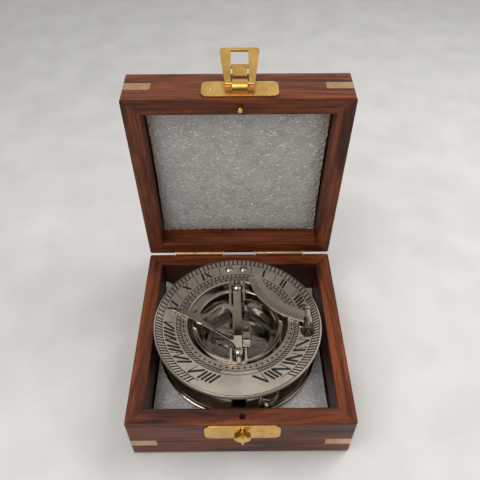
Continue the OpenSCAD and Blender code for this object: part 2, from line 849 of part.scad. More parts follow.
// Post of the dial's hinge: a foot on the base plate and two knuckles
module dial_hinge_post() {
    rise = z_dial_hinge - z_deck;
    foot_t = 1.6;
    side = (dial_hinge_w - dial_knuckle_w) / 2;
    color(nickel) in_box() translate([0, dial_hinge_y, z_deck]) difference() {
        union() {
            translate([-dial_hinge_w / 2, -hinge_foot_len + hinge_post_t / 2, 0])
                cube([dial_hinge_w, hinge_foot_len, foot_t]);
            translate([-dial_hinge_w / 2, -hinge_post_t / 2, 0])
                cube([dial_hinge_w, hinge_post_t, rise - knuckle_r - soft_gap]);
            for (x = [-1, 1]) translate([x * (dial_hinge_w - side) / 2, 0, 0]) {
                translate([-side / 2, -hinge_post_t / 2, 0]) cube([side, hinge_post_t, rise]);
                translate([0, 0, rise]) rod_x(knuckle_r, side);
            }
        }
        translate([0, 0, rise]) rod_x(dial_hinge_pin_d / 2 + press, dial_hinge_w + 2);
    }
}

module dial_hinge_pin() {
    color(nickel) in_box() translate([0, dial_hinge_y, z_dial_hinge]) rod_x(dial_hinge_pin_d / 2, dial_hinge_w + 1);
}

// Post under the latitude arc, seen through the slot
module arc_post() {
    post_w = 2.2;
    post_len = 5;
    foot_t = 1.4;
    front = front_ear_y - pass_gap;
    top = z_dial - bracket_foot_t - 2 * soft_gap;
    color(nickel) in_box() translate([arc_x, front, z_deck]) {
        translate([-post_w / 2, 0, 0]) cube([post_w, post_len, top - z_deck]);
        translate([-post_w * 1.5, 0, 0]) cube([3 * post_w, post_len, foot_t]);
    }
}

// Needle: a long diamond with a ridge of equal thickness, pierced for its cap
module compass_needle() {
    tail = needle_len / 2;
    color("steelblue") in_box() rotate([0, 0, needle_bearing]) translate([0, 0, z_needle]) difference() {
        linear_extrude(needle_t) polygon([[tail, 0], [0, needle_w / 2], [-tail, 0], [0, -needle_w / 2]]);
        translate([0, 0, -1]) cylinder(r = cap_r * 0.7, h = needle_t + 2);
    }
}

// Cap that rides on the pivot's point
module needle_cap() {
    stem = cap_r * 0.7 - 0.01;
    bore_r = pivot_r + 0.25;
    roof = 1;
    color(brass) in_box() translate([0, 0, z_needle]) difference() {
        union() {
            translate([0, 0, -0.3]) cylinder(r = stem, h = cap_h - 0.5);
            translate([0, 0, needle_t]) cylinder(r1 = cap_r, r2 = cap_r * 0.6, h = cap_h - needle_t);
        }
        translate([0, 0, -1]) cylinder(r = bore_r, h = 1 + needle_t);
        translate([0, 0, needle_t - eps]) cylinder(r1 = bore_r, r2 = 0.3, h = cap_h - needle_t - roof);
    }
}

// Hour ring: a flat band with a bevelled edge, the bracket's slot and two screw holes
module hour_ring() {
    inner_bevel = 0.4;
    color(nickel) in_box() difference() {
        translate([0, 0, z_dial]) rotate_extrude() polygon([
            [hole_r, 0], [dial_r, 0], [dial_r, dial_t - dial_bevel], [dial_r - dial_bevel, dial_t],
            [hole_r + inner_bevel, dial_t], [hole_r, dial_t - inner_bevel]]);
        translate([slot_x, slot_y, z_dial - 1]) linear_extrude(dial_t + 2) slot_outline();
        dial_screw_rods(dial_screw_d / 2 + press, dial_t + 1);
    }
}

module slot_outline() {
    straight = slot_len - slot_w;
    square([slot_w, straight], center = true);
    for (y = [-1, 1]) translate([0, y * straight / 2]) circle(slot_w / 2);
}

module dial_screw_rods(r, up) {
    for (x = [-1, 1]) translate([x * dial_screw_x, dial_screw_y, z_dial - dial_leaf_t])
        cylinder(r = r, h = dial_leaf_t + up);
}

// Leaf under the hour ring, with the middle knuckle of the dial's hinge
module dial_hinge_leaf() {
    w = dial_knuckle_w - 2 * knuckle_gap;
    color(nickel) in_box() difference() {
        union() {
            translate([-dial_hinge_w / 2, dial_hinge_y - knuckle_r - soft_gap - dial_leaf_len, z_dial - dial_leaf_t])
                cube([dial_hinge_w, dial_leaf_len, dial_leaf_t]);
            translate([-w / 2, dial_hinge_y - knuckle_r - soft_gap - eps, z_dial - dial_leaf_t])
                cube([w, knuckle_r + soft_gap + eps, dial_leaf_t]);
            translate([-w / 2, dial_hinge_y - knuckle_r, z_dial_hinge])
                cube([w, knuckle_r, z_dial - z_dial_hinge]);
            translate([0, dial_hinge_y, z_dial_hinge]) rod_x(knuckle_r, w);
        }
        translate([0, dial_hinge_y, z_dial_hinge]) rod_x(dial_hinge_pin_d / 2 + fit, dial_hinge_w + 2);
        dial_screw_rods(dial_screw_d / 2 + press, dial_t + 1);
    }
}

module dial_hinge_screws() {
    s = cap_radius(dial_screw_head_r, dial_screw_head_h);
    color(nickel) in_box() {
        dial_screw_rods(dial_screw_d / 2, dial_t);
        for (x = [-1, 1]) translate([x * dial_screw_x, dial_screw_y, z_face]) difference() {
            intersection() {
                translate([0, 0, dial_screw_head_h - s]) sphere(s);
                cylinder(r = dial_screw_head_r, h = dial_screw_head_h + 1);
            }
            translate([-0.3, -dial_screw_head_r, dial_screw_head_h - 0.5])
                cube([0.6, 2 * dial_screw_head_r, 1]);
        }
    }
}

// A lug for one end of the gnomon's bar: a low web with a boss for the pin, two arms beside the ball and a foot
module lug(arm) {
    arm_low = z_dial - eps;
    difference() {
        intersection() {
            union() {
                for (x = [-1, 1]) translate([x * (lug_half - lug_wall / 2) - lug_wall / 2, hole_r - arm, z_dial])
                    cube([lug_wall, arm, z_lug_top - z_dial]);
                translate([-lug_half, hole_r - web_t, z_dial]) cube([2 * lug_half, web_t, dial_t]);
                translate([0, 0, z_gnomon]) rod_y(pivot_d / 2 + boss_wall, hole_r - web_t, hole_r);
            }
            translate([0, 0, arm_low]) cylinder(r = hole_r, h = z_lug_top - arm_low);
        }
        translate([0, 0, z_gnomon]) rod_y(pivot_d / 2 + press, hole_r - 5, hole_r + 1);
    }
    intersection() {
        translate([-lug_half, hole_r - web_t, z_dial - lug_foot_t])
            cube([2 * lug_half, web_t + lug_foot_len, lug_foot_t]);
        difference() {
            translate([0, 0, z_dial - 2]) cylinder(r = hole_r + lug_foot_len, h = 2);
            translate([0, 0, z_dial - 3]) cylinder(r = bezel_r + pass_gap, h = 4);
        }
    }
}

module rear_lug() {
    color(nickel) in_box() lug(rear_arm);
}

module front_lug() {
    color(nickel) in_box() rotate([0, 0, 180]) lug(front_arm);
}

// The two pins that the bar turns on, each with a collar between web and ball
module gnomon_pivots() {
    reach = ball_r - 0.6;
    collar_y = ball_y + ball_r + 0.2;
    color(nickel) in_box() for (a = [0, 180]) rotate([0, 0, a]) translate([0, 0, z_gnomon]) {
        rod_y(pivot_d / 2, ball_y - reach, hole_r - 0.3);
        rod_y(collar_r, collar_y, hole_r - web_t);
    }
}

// Bracket of the latitude arc: a foot under the ring and two ears that stand up through the slot
module arc_bracket() {
    ear_w = 2 * ear_r;
    color(nickel) in_box() difference() {
        union() {
            translate([slot_x - bracket_foot_w / 2, front_ear_y, z_dial - bracket_foot_t])
                cube([bracket_foot_w, rear_ear_y + ear_t - front_ear_y, bracket_foot_t]);
            for (ear = [[front_ear_y, front_ear_t], [rear_ear_y, ear_t]]) {
                translate([arc_x - ear_r, ear[0], z_dial - bracket_foot_t])
                    cube([ear_w, ear[1], z_arc - z_dial + bracket_foot_t]);
                translate([arc_x, 0, z_arc]) rod_y(ear_r, ear[0], ear[0] + ear[1]);
            }
        }
        translate([arc_x, 0, z_arc]) rod_y(arc_pin_d / 2 + press, front_ear_y - 1, rear_ear_y + ear_t + 1);
    }
}

module arc_hinge_pin() {
    head_r = arc_pin_d / 2 + 0.5;
    head_t = 0.6;
    front = front_ear_y;
    back = rear_ear_y + ear_t;
    color(nickel) in_box() translate([arc_x, 0, z_arc]) {
        rod_y(arc_pin_d / 2, front, back);
        rod_y(head_r, front - head_t, front);
        rod_y(head_r, back, back + head_t);
    }
}

// A point of the gnomon: u runs from the bar's left side to the tip, v from the middle to the rear ball
function g(u, v) = [-bar_w / 2 - u * (gnomon_reach - bar_w / 2), v * ball_y];

// Outline of the gnomon: a nearly straight lower edge, and an upper edge that dips behind the tip,
// swells over the window and runs into the bar
module gnomon_outline() {
    tip = g(1, 0.385);
    dip = g(0.5, 0.165);
    crest = g(0.17, 0.472);
    join = g(0, 0.38);
    foot = g(0, -0.856);
    polygon(concat(
        [tip],
        curve(tip, g(0.87, 0.33), g(0.66, 0.195), dip, 8),
        curve(dip, g(0.38, 0.15), g(0.3, 0.455), crest, 10),
        curve(crest, g(0.11, 0.476), g(0.05, 0.455), join, 6),
        [[0, join[1]], [0, foot[1]], [-bar_w * 0.2, foot[1]], g(0.025, -0.69), g(0.09, -0.617),
         g(0.212, -0.477), g(0.534, -0.119), g(1, 0.338)]));
}

module gnomon_window() {
    apex = g(0.503, 0.004);
    crown = g(0.183, 0.37);
    side = g(0.012, 0.05);
    toe = g(0.012, -0.5);
    corner = g(0.056, -0.566);
    polygon(concat(
        [apex],
        curve(apex, g(0.4, 0.09), g(0.29, 0.37), crown, 8),
        curve(crown, g(0.1, 0.37), g(0.012, 0.22), side, 8),
        [toe],
        curve(toe, g(0.012, -0.56), g(0.025, -0.585), corner, 5),
        [g(0.118, -0.514), g(0.294, -0.298), g(0.408, -0.13)]));
}

// The bar from ball to ball, cut narrower on the left below the gnomon's heel
module bar_outline() {
    end = ball_y - 1;
    polygon([[-bar_w / 2, end], [bar_w / 2, end], [bar_w / 2, -end], [-bar_w * 0.24, -end],
             [-bar_w * 0.24, -0.8 * ball_y], [-bar_w / 2, -0.66 * ball_y]]);
}

// The lobe on the bar's right side
lobe_y = -0.255 * ball_y;
lobe_len = 0.354 * ball_y;
lobe_end_y = lobe_y - lobe_len / 2;
module lobe_outline() {
    lobe_r = 2.4;
    translate([0, lobe_end_y]) square([lobe_reach - lobe_r, lobe_len]);
    for (y = [-1, 1]) translate([lobe_reach - lobe_r, lobe_y + y * (lobe_len / 2 - lobe_r)]) circle(lobe_r);
    translate([0, lobe_end_y + lobe_r]) square([lobe_reach, lobe_len - 2 * lobe_r]);
}

// Gnomon: the bar with its two balls, the pierced plate on the left and the lobe on the right.
// The bar's foot falls away towards its ball.
foot_slope = 4;
module gnomon() {
    color(nickel) in_box() translate([0, 0, z_gnomon]) difference() {
        union() {
            translate([0, 0, -gnomon_t / 2]) linear_extrude(gnomon_t) difference() {
                gnomon_outline();
                gnomon_window();
            }
            translate([0, 0, -bar_t / 2]) linear_extrude(bar_t) {
                bar_outline();
                lobe_outline();
            }
            for (y = [-1, 1]) translate([0, y * ball_y, 0]) sphere(ball_r);
        }
        difference() {
            translate([0, -0.52 * ball_y, bar_t / 2]) rotate([foot_slope, 0, 0])
                translate([-bar_w, -ball_y / 2, 0]) cube([2 * bar_w, ball_y / 2, bar_t]);
            translate([0, -ball_y, 0]) sphere(ball_r);
        }
        for (a = [0, 180]) rotate([0, 0, a]) rod_y(pivot_d / 2 + fit, ball_y - ball_r + 0.5, ball_y + ball_r + 1);
    }
}

// Leaf spring that lies on the lobe and bows up past it
spring_t = 0.4;
spring_w = 4.2;
spring_bow = 1.2;
spring_screw_y = lobe_end_y + 4;
function spring_x() = lobe_reach - spring_w / 2 - 0.4;
module gnomon_spring() {
    start_y = spring_screw_y + 2;
    free_y = -(hole_r - front_arm) + 1.2;
    z = bar_t / 2;
    color(nickel) in_box() translate([spring_x(), 0, z_gnomon]) difference() {
        translate([-spring_w / 2, 0, 0]) rotate([90, 0, 90]) linear_extrude(spring_w) polygon(concat(
            [[start_y, z], [lobe_end_y, z]],
            curve([lobe_end_y, z], [lobe_end_y - 3, z + 0.2], [free_y + 4, z + spring_bow], [free_y, z - 0.3], 8),
            [[free_y - 0.2, z - 0.3 + spring_t]],
            curve([free_y - 0.2, z - 0.3 + spring_t], [free_y + 3.8, z + spring_bow + 1.6 * spring_t],
                  [lobe_end_y - 3, z + spring_t + 0.2], [lobe_end_y, z + spring_t], 8),
            [[start_y, z + spring_t]]));
        translate([0, spring_screw_y, 0]) cylinder(r = 0.7 + press, h = 4);
    }
}

module spring_screw() {
    color(nickel) in_box() translate([spring_x(), spring_screw_y, z_gnomon + bar_t / 2]) {
        cylinder(r = 0.7, h = spring_t);
        translate([0, 0, spring_t]) difference() {
            cylinder(r1 = 1.4, r2 = 1, h = 0.7);
            translate([-0.2, -2, 0.35]) cube([0.4, 4, 1]);
        }
    }
}

// Latitude arc: a curved plate with a rolled knuckle at the slot, cut away beside the bracket's ears
module latitude_arc() {
    knuckle_end = arc_knuckle_y + arc_knuckle_len;
    ear_side = arc_x - ear_r - pass_gap;
    color(nickel) in_box() difference() {
        union() {
            translate([0, 0, z_arc - arc_t / 2]) linear_extrude(arc_t) difference() {
                polygon(concat(
                    arc_points(arc_cx, arc_cy, arc_r, arc_far_angle, arc_near_angle, 40),
                    [[arc_x, knuckle_end]],
                    arc_points(arc_cx, arc_cy, arc_r - arc_w, arc_near_angle - 4, arc_far_angle, 40)));
                translate([ear_side, arc_knuckle_y - arc_r]) square(arc_r);
                translate([ear_side, knuckle_end]) square(arc_r);
            }
            translate([arc_x, 0, z_arc]) rod_y(arc_knuckle_r, arc_knuckle_y, knuckle_end);
        }
        translate([arc_x, 0, z_arc]) rod_y(arc_pin_d / 2 + fit, arc_knuckle_y - 1, knuckle_end + 1);
    }
}

// A levelling screw: milled head, shank through the base plate and a round foot on the foam
module levelling_screw(k) {
    head_z = z_deck + head_lift;
    color(nickel) in_box() rotate([0, 0, screw_bearing + 120 * k]) translate([screw_ring_r, 0, 0]) {
        translate([0, 0, head_z]) difference() {
            rotate_extrude() polygon([[0, 0], [head_d / 2 - 0.5, 0], [head_d / 2, 0.5], [head_d / 2, head_h - 0.5],
                                      [head_d / 2 - 0.5, head_h], [head_d / 4, head_h + 0.4], [0, head_h + 0.4]]);
            for (a = [0:head_flutes - 1]) rotate([0, 0, a * 360 / head_flutes]) translate([head_d / 2, 0, -1])
                cylinder(r = flute_r, h = head_h + 2, $fn = 16);
        }
        translate([0, 0, z_feet + foot_r]) cylinder(d = screw_d, h = head_z - z_feet - foot_r + eps);
        translate([0, 0, z_feet + foot_r]) sphere(foot_r);
        translate([0, 0, head_z - 1.6]) cylinder(r1 = screw_d / 2, r2 = screw_d / 2 + 1.6, h = 1.6 + eps);
    }
}

module front_levelling_screw() {
    levelling_screw(0);
}

module right_levelling_screw() {
    levelling_screw(1);
}

module left_levelling_screw() {
    levelling_screw(2);
}

base_front_wall();
base_rear_wall();
base_left_wall();
base_right_wall();
base_floor();
base_pad();
base_corner_keys();
catch_plate();
catch_knob();
catch_nails();
box_hinge_lower_leaves();
box_hinge_pins();
box_hinge_lower_screws();
lid_front_wall();
lid_rear_wall();
lid_left_wall();
lid_right_wall();
lid_panel();
lid_pad();
lid_corner_keys();
clasp_plate();
clasp_nails();
locating_peg();
box_hinge_upper_leaves();
box_hinge_upper_screws();
clasp_loop();
base_plate();
compass_bowl();
bowl_screws();
compass_card();
degree_ring();
needle_pivot();
glass_gasket();
compass_glass();
bezel();
dial_hinge_post();
dial_hinge_pin();
arc_post();
compass_needle();
needle_cap();
hour_ring();
dial_hinge_leaf();
dial_hinge_screws();
rear_lug();
front_lug();
gnomon_pivots();
arc_bracket();
arc_hinge_pin();
gnomon();
gnomon_spring();
spring_screw();
latitude_arc();
front_levelling_screw();
right_levelling_screw();
left_levelling_screw();
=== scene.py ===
"""Looks of a folding sundial compass that lies in its open wooden box.

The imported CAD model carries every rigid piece. This script gives each of them its finish, lays foam pads
in the box and its lid, fills the engraving of the dial, the latitude arc and the compass, and sets the
floor, light and camera. All lengths are in millimetres until a mesh is made, and the frame is the CAD
model's own.
"""

import logging
import math
from dataclasses import dataclass, field
from enum import Enum

import bpy
import numpy as np
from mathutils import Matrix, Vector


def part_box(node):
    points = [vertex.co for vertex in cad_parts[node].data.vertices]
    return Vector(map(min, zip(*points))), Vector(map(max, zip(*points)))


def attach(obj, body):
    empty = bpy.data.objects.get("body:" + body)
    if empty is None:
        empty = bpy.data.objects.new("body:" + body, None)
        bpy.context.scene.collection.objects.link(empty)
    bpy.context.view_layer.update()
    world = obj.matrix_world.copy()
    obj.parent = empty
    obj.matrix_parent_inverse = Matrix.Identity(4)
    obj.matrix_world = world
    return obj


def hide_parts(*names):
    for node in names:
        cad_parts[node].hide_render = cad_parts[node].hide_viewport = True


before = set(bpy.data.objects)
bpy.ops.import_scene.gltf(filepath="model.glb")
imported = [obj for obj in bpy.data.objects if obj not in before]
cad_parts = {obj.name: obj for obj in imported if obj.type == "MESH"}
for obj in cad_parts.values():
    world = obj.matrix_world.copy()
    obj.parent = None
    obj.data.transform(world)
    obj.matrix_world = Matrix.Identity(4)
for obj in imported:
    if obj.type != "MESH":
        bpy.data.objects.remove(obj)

LOG = logging.getLogger("compass")
MM = 0.001

Socket = bpy.types.NodeSocket
Points = np.ndarray


# Colour and nodes


def linear(code: str) -> tuple[float, float, float, float]:
    """Turns an sRGB hex value into a linear colour.

    Args:
        code: Six hex digits, such as "b8b0a6".

    Returns:
        Red, green, blue and an alpha of one.
    """
    parts = [int(code[k : k + 2], 16) / 255 for k in (0, 2, 4)]
    return (*(c / 12.92 if c <= 0.04045 else ((c + 0.055) / 1.055) ** 2.4 for c in parts), 1.0)


def add(
    tree: bpy.types.NodeTree, kind: str, inputs: dict | None = None, **settings: object
) -> bpy.types.Node:
    """Adds a node, sets its properties and fills its inputs.

    Args:
        tree: The material's or world's node tree.
        kind: The node's Blender type name.
        inputs: Input name or number to a value or to another node's output.
        settings: Properties of the node.

    Returns:
        The new node.
    """
    made = tree.nodes.new(kind)
    for key, value in settings.items():
        setattr(made, key, value)
    for key, value in (inputs or {}).items():
        socket = made.inputs[key]
        if isinstance(value, Socket):
            tree.links.new(value, socket)
        else:
            socket.default_value = value
    return made


def ramp(tree: bpy.types.NodeTree, fac: Socket, stops: list[tuple[float, str]]) -> Socket:
    """Maps a value to colours.

    Args:
        tree: The node tree.
        fac: The value, from 0 to 1.
        stops: Places from 0 to 1 with their sRGB hex values.

    Returns:
        The colour output.
    """
    made = add(tree, "ShaderNodeValToRGB", {"Fac": fac})
    band = made.color_ramp
    while len(band.elements) < len(stops):
        band.elements.new(0.5)
    for element, (place, code) in zip(band.elements, stops):
        element.position = place
        element.color = linear(code)
    return made.outputs["Color"]


def blend(
    tree: bpy.types.NodeTree,
    factor: Socket | float,
    one: Socket | tuple,
    two: Socket | tuple,
    way: str = "MIX",
) -> Socket:
    """Mixes two colours.

    Args:
        tree: The node tree.
        factor: Share of the second colour, or how strongly it multiplies the first.
        one: The first colour, or another node's output.
        two: The second colour, or another node's output.
        way: Blender's name of the blending mode.

    Returns:
        The mixed colour.
    """
    # A colour mix's inputs are its factor, first and second colour, at these places among all its sockets
    made = add(tree, "ShaderNodeMix", {0: factor, 6: one, 7: two}, data_type="RGBA", blend_type=way)
    return made.outputs[2]


# Finishes


@dataclass(frozen=True)
class Finish:
    """A material that is built once and shared by its pieces."""

    name: str

    def shade(self, tree: bpy.types.NodeTree, shader: bpy.types.Node) -> None:
        """Adds the finish's own nodes to a fresh tree.

        Args:
            tree: The material's node tree.
            shader: Its Principled BSDF.
        """
        raise NotImplementedError

    def material(self) -> bpy.types.Material:
        """Gives the finish's material, made at its first use.

        Returns:
            The Blender material.
        """
        found = bpy.data.materials.get(self.name)
        if found:
            return found
        made = bpy.data.materials.new(self.name)
        made.use_nodes = True
        shader = made.node_tree.nodes["Principled BSDF"]
        self.shade(made.node_tree, shader)
        return made


class Grain(Enum):
    """The way a board's grain runs, as the turn that brings it onto X, in degrees."""

    ALONG_X = (0.0, 0.0, 0.0)
    ALONG_Y = (0.0, 0.0, -90.0)
    UP_THE_LID = (0.0, 90.0, 0.0)


@dataclass(frozen=True)
class OiledSheesham(Finish):
    """Sheesham, planed, sanded and oiled: red-brown with darker figure, open pores and a soft sheen.

    Each board is cut from another place of the wood, offset times board_step metres on. Faces nearer the
    box's middle than inner_half carry painted shade, for the shade that falls inside the box: they are
    darkened towards a near-black colour by a share given for each board, which fades out over inner_fade
    beyond that. Edges are eased in the shading alone, by edge_mm.
    """

    grain: Grain
    offset: float
    # The share by which inner faces are painted darker, as painted shade
    inner_shade_share: float
    board_step: tuple[float, float, float] = (0.31, 0.17, 0.23)
    light: str = "86421e"
    middle: str = "602a10"
    dark: str = "280e05"
    streak_dark: str = "7c7474"
    streak_share: float = 0.7
    pore: str = "1c0b07"
    # Painted shade: the near-black colour for the shade inside the box
    inner_shade_colour: str = "0d0604"
    inner_half: float = 53.9
    inner_fade: tuple[float, float] = (0.1, 1.5)
    edge_mm: float = 1.1

    def shade(self, tree: bpy.types.NodeTree, shader: bpy.types.Node) -> None:
        """Draws figure, dark streaks and pores along the grain.

        Args:
            tree: The material's node tree.
            shader: Its Principled BSDF.
        """
        place = add(tree, "ShaderNodeTexCoord").outputs["Object"]
        turned = add(
            tree,
            "ShaderNodeMapping",
            {
                "Vector": place,
                "Location": tuple(self.offset * step for step in self.board_step),
                "Rotation": tuple(math.radians(a) for a in self.grain.value),
            },
        ).outputs["Vector"]

        def stretched(along: float, across: float, detail: float, distortion: float) -> Socket:
            """Makes noise whose spots are long with the grain.

            Args:
                along: A spot's length, in mm.
                across: A spot's width, in mm.
                detail: How many finer layers the noise has.
                distortion: How strongly it is stirred.

            Returns:
                The noise, from 0 to 1.
            """
            scaled = add(
                tree,
                "ShaderNodeMapping",
                {"Vector": turned, "Scale": (1000 / along, 1000 / across, 1000 / across)},
            ).outputs["Vector"]
            return add(
                tree,
                "ShaderNodeTexNoise",
                {
                    "Vector": scaled,
                    "Scale": 1.0,
                    "Detail": detail,
                    "Roughness": 0.62,
                    "Distortion": distortion,
                },
            ).outputs["Fac"]

        figure = ramp(
            tree,
            stretched(along=70, across=7.5, detail=4, distortion=0.6),
            [(0.30, self.dark), (0.43, self.middle), (0.56, self.light), (0.70, self.middle)],
        )
        streak = ramp(
            tree,
            stretched(along=90, across=1.8, detail=4, distortion=0.3),
            [(0.38, self.streak_dark), (0.62, "ffffff")],
        )
        toned = blend(tree, self.streak_share, figure, streak, "MULTIPLY")
        # Pores: about 0.3 mm wide and 5 mm long, drawn a little coarser than the real ones so that they show
        pores = stretched(along=5.5, across=0.34, detail=2, distortion=0.0)
        pit = add(
            tree, "ShaderNodeMapRange", {"Value": pores, "From Min": 0.28, "From Max": 0.40}
        ).outputs["Result"]
        pored = blend(tree, pit, linear(self.pore), toned)
        # The larger of the distances to the box's two middle planes tells inner faces from outer ones,
        # and only inner faces get painted shade
        axes = add(tree, "ShaderNodeSeparateXYZ", {"Vector": place})
        sides = [
            add(tree, "ShaderNodeMath", {0: axes.outputs[k]}, operation="ABSOLUTE").outputs[0] for k in "XY"
        ]
        reach = add(tree, "ShaderNodeMath", {0: sides[0], 1: sides[1]}, operation="MAXIMUM").outputs[0]
        near, far = ((self.inner_half + fade) * MM for fade in self.inner_fade)
        outside = add(
            tree, "ShaderNodeMapRange", {"Value": reach, "From Min": near, "From Max": far}
        ).outputs["Result"]
        # Painted shade: inner faces are darkened towards the near-black colour, for the shade inside the box
        shaded_inside = blend(tree, outside, blend(tree, self.inner_shade_share, pored, linear(self.inner_shade_colour)), pored)
        tree.links.new(shaded_inside, shader.inputs["Base Color"])
        gloss = add(
            tree,
            "ShaderNodeMapRange",
            {
                "Value": stretched(along=30, across=5, detail=3, distortion=0.0),
                "From Min": 0.3,
                "From Max": 0.7,
                "To Min": 0.34,
                "To Max": 0.52,
            },
        ).outputs["Result"]
        tree.links.new(gloss, shader.inputs["Roughness"])
        eased = add(tree, "ShaderNodeBevel", {"Radius": self.edge_mm * MM}, samples=6).outputs["Normal"]
        bump = add(
            tree, "ShaderNodeBump", {"Height": pit, "Strength": 0.35, "Distance": 0.00012, "Normal": eased}
        ).outputs["Normal"]
        tree.links.new(bump, shader.inputs["Normal"])
        shader.inputs["Specular IOR Level"].default_value = 0.35


@dataclass(frozen=True)
class PlatedMetal(Finish):
    """A plated or polished metal: its colour, a faint unevenness of polish and fine hairline scratches.

    Roughness grows by up to spread where the metal is most tarnished. wave and hairline are the strengths
    of the polish's waviness and of the scratches. Edges are eased in the shading alone, by edge_mm.
    """

    colour: str
    tarnish: str
    roughness: float
    spread: float = 0.06
    patch_mm: float = 14.0
    wave_mm: float = 9.0
    wave: float = 0.05
    hairline: float = 0.02
    edge_mm: float = 0.35

    def shade(self, tree: bpy.types.NodeTree, shader: bpy.types.Node) -> None:
        """Varies colour and roughness slowly, and adds waviness and hairlines to the normal.

        Args:
            tree: The material's node tree.
            shader: Its Principled BSDF.
        """
        place = add(tree, "ShaderNodeTexCoord").outputs["Object"]
        slow = add(
            tree,
            "ShaderNodeTexNoise",
            {"Vector": place, "Scale": 1000 / self.patch_mm, "Detail": 3, "Roughness": 0.6},
        ).outputs["Fac"]
        tree.links.new(
            ramp(tree, slow, [(0.35, self.tarnish), (0.62, self.colour)]), shader.inputs["Base Color"]
        )
        shader.inputs["Metallic"].default_value = 1.0
        rough = add(
            tree,
            "ShaderNodeMapRange",
            {
                "Value": slow,
                "From Min": 0.3,
                "From Max": 0.7,
                "To Min": self.roughness + self.spread,
                "To Max": self.roughness,
            },
        ).outputs["Result"]
        tree.links.new(rough, shader.inputs["Roughness"])
        wavy = add(
            tree, "ShaderNodeTexNoise", {"Vector": place, "Scale": 1000 / self.wave_mm, "Detail": 1}
        ).outputs["Fac"]
        eased = add(tree, "ShaderNodeBevel", {"Radius": self.edge_mm * MM}, samples=6).outputs["Normal"]
        first = add(
            tree,
            "ShaderNodeBump",
            {"Height": wavy, "Strength": self.wave, "Distance": 0.0004, "Normal": eased},
        ).outputs["Normal"]
        # Hairlines: about 0.2 mm apart and 6 mm long, coarser than real ones, all in one slanting direction
        drawn = add(
            tree,
            "ShaderNodeMapping",
            {"Vector": place, "Rotation": (0.2, 0.3, 0.7), "Scale": (160, 5000, 5000)},
        ).outputs["Vector"]
        lines = add(tree, "ShaderNodeTexNoise", {"Vector": drawn, "Scale": 1.0, "Detail": 1}).outputs["Fac"]
        second = add(
            tree,
            "ShaderNodeBump",
            {"Height": lines, "Strength": self.hairline, "Distance": 0.00005, "Normal": first},
        ).outputs["Normal"]
        tree.links.new(second, shader.inputs["Normal"])


@dataclass(frozen=True)
class ExpandedFoam(Finish):
    """Expanded polyethylene foam sheet, skived: pale grey with fine bright flecks as painted glints, and a
    papery shine.
    """

    colour: str = "c6c2bd"
    shade_colour: str = "aba7a2"
    painted_glint: str = "fbfaf8"
    patch_mm: float = 9.0
    cell_mm: float = 0.75
    painted_glint_mm: float = 0.6

    def shade(self, tree: bpy.types.NodeTree, shader: bpy.types.Node) -> None:
        """Colours soft patches, paints bright flecks as painted glints, and gives each cell a facet that may
        catch the light.

        Args:
            tree: The material's node tree.
            shader: Its Principled BSDF.
        """
        place = add(tree, "ShaderNodeTexCoord").outputs["Object"]
        patch = add(
            tree,
            "ShaderNodeTexNoise",
            {"Vector": place, "Scale": 1000 / self.patch_mm, "Detail": 6, "Roughness": 0.65},
        ).outputs["Fac"]
        # In millimetres, with the cells drawn out threefold along X, as the skiving knife leaves them
        fibre_place = add(
            tree, "ShaderNodeMapping", {"Vector": place, "Scale": (330, 1000, 1000)}
        ).outputs["Vector"]
        cells = add(tree, "ShaderNodeTexVoronoi", {"Vector": fibre_place, "Scale": 1 / self.cell_mm})
        painted_glint = add(
            tree, "ShaderNodeTexNoise", {"Vector": fibre_place, "Scale": 1 / self.painted_glint_mm, "Detail": 2}
        ).outputs["Fac"]
        base = ramp(tree, patch, [(0.32, self.shade_colour), (0.66, self.colour)])
        # Painted glints: near-white flecks where the noise peaks, mixed into the colour
        painted_sparkle = ramp(tree, painted_glint, [(0.59, "000000"), (0.66, "ffffff")])
        tree.links.new(blend(tree, painted_sparkle, base, linear(self.painted_glint)), shader.inputs["Base Color"])
        shader.inputs["Roughness"].default_value = 0.5
        shader.inputs["Coat Weight"].default_value = 0.25
        shader.inputs["Coat Roughness"].default_value = 0.3
        coarse = add(
            tree, "ShaderNodeBump", {"Height": patch, "Strength": 0.5, "Distance": 0.0012}
        ).outputs["Normal"]
        fine = add(
            tree,
            "ShaderNodeBump",
            {"Height": cells.outputs["Distance"], "Strength": 0.75, "Distance": 0.0005, "Normal": coarse},
        ).outputs["Normal"]
        tree.links.new(fine, shader.inputs["Normal"])


@dataclass(frozen=True)
class CrownGlass(Finish):
    """Crown glass, formed into a shallow dome: clear, with sharp reflections."""

    colour: str = "fdfdfc"

    def shade(self, tree: bpy.types.NodeTree, shader: bpy.types.Node) -> None:
        """Sets a clear, smooth glass.

        Args:
            tree: The material's node tree.
            shader: Its Principled BSDF.
        """
        shader.inputs["Base Color"].default_value = linear(self.colour)
        shader.inputs["Roughness"].default_value = 0.0
        shader.inputs["IOR"].default_value = 1.5
        shader.inputs["Transmission Weight"].default_value = 1.0


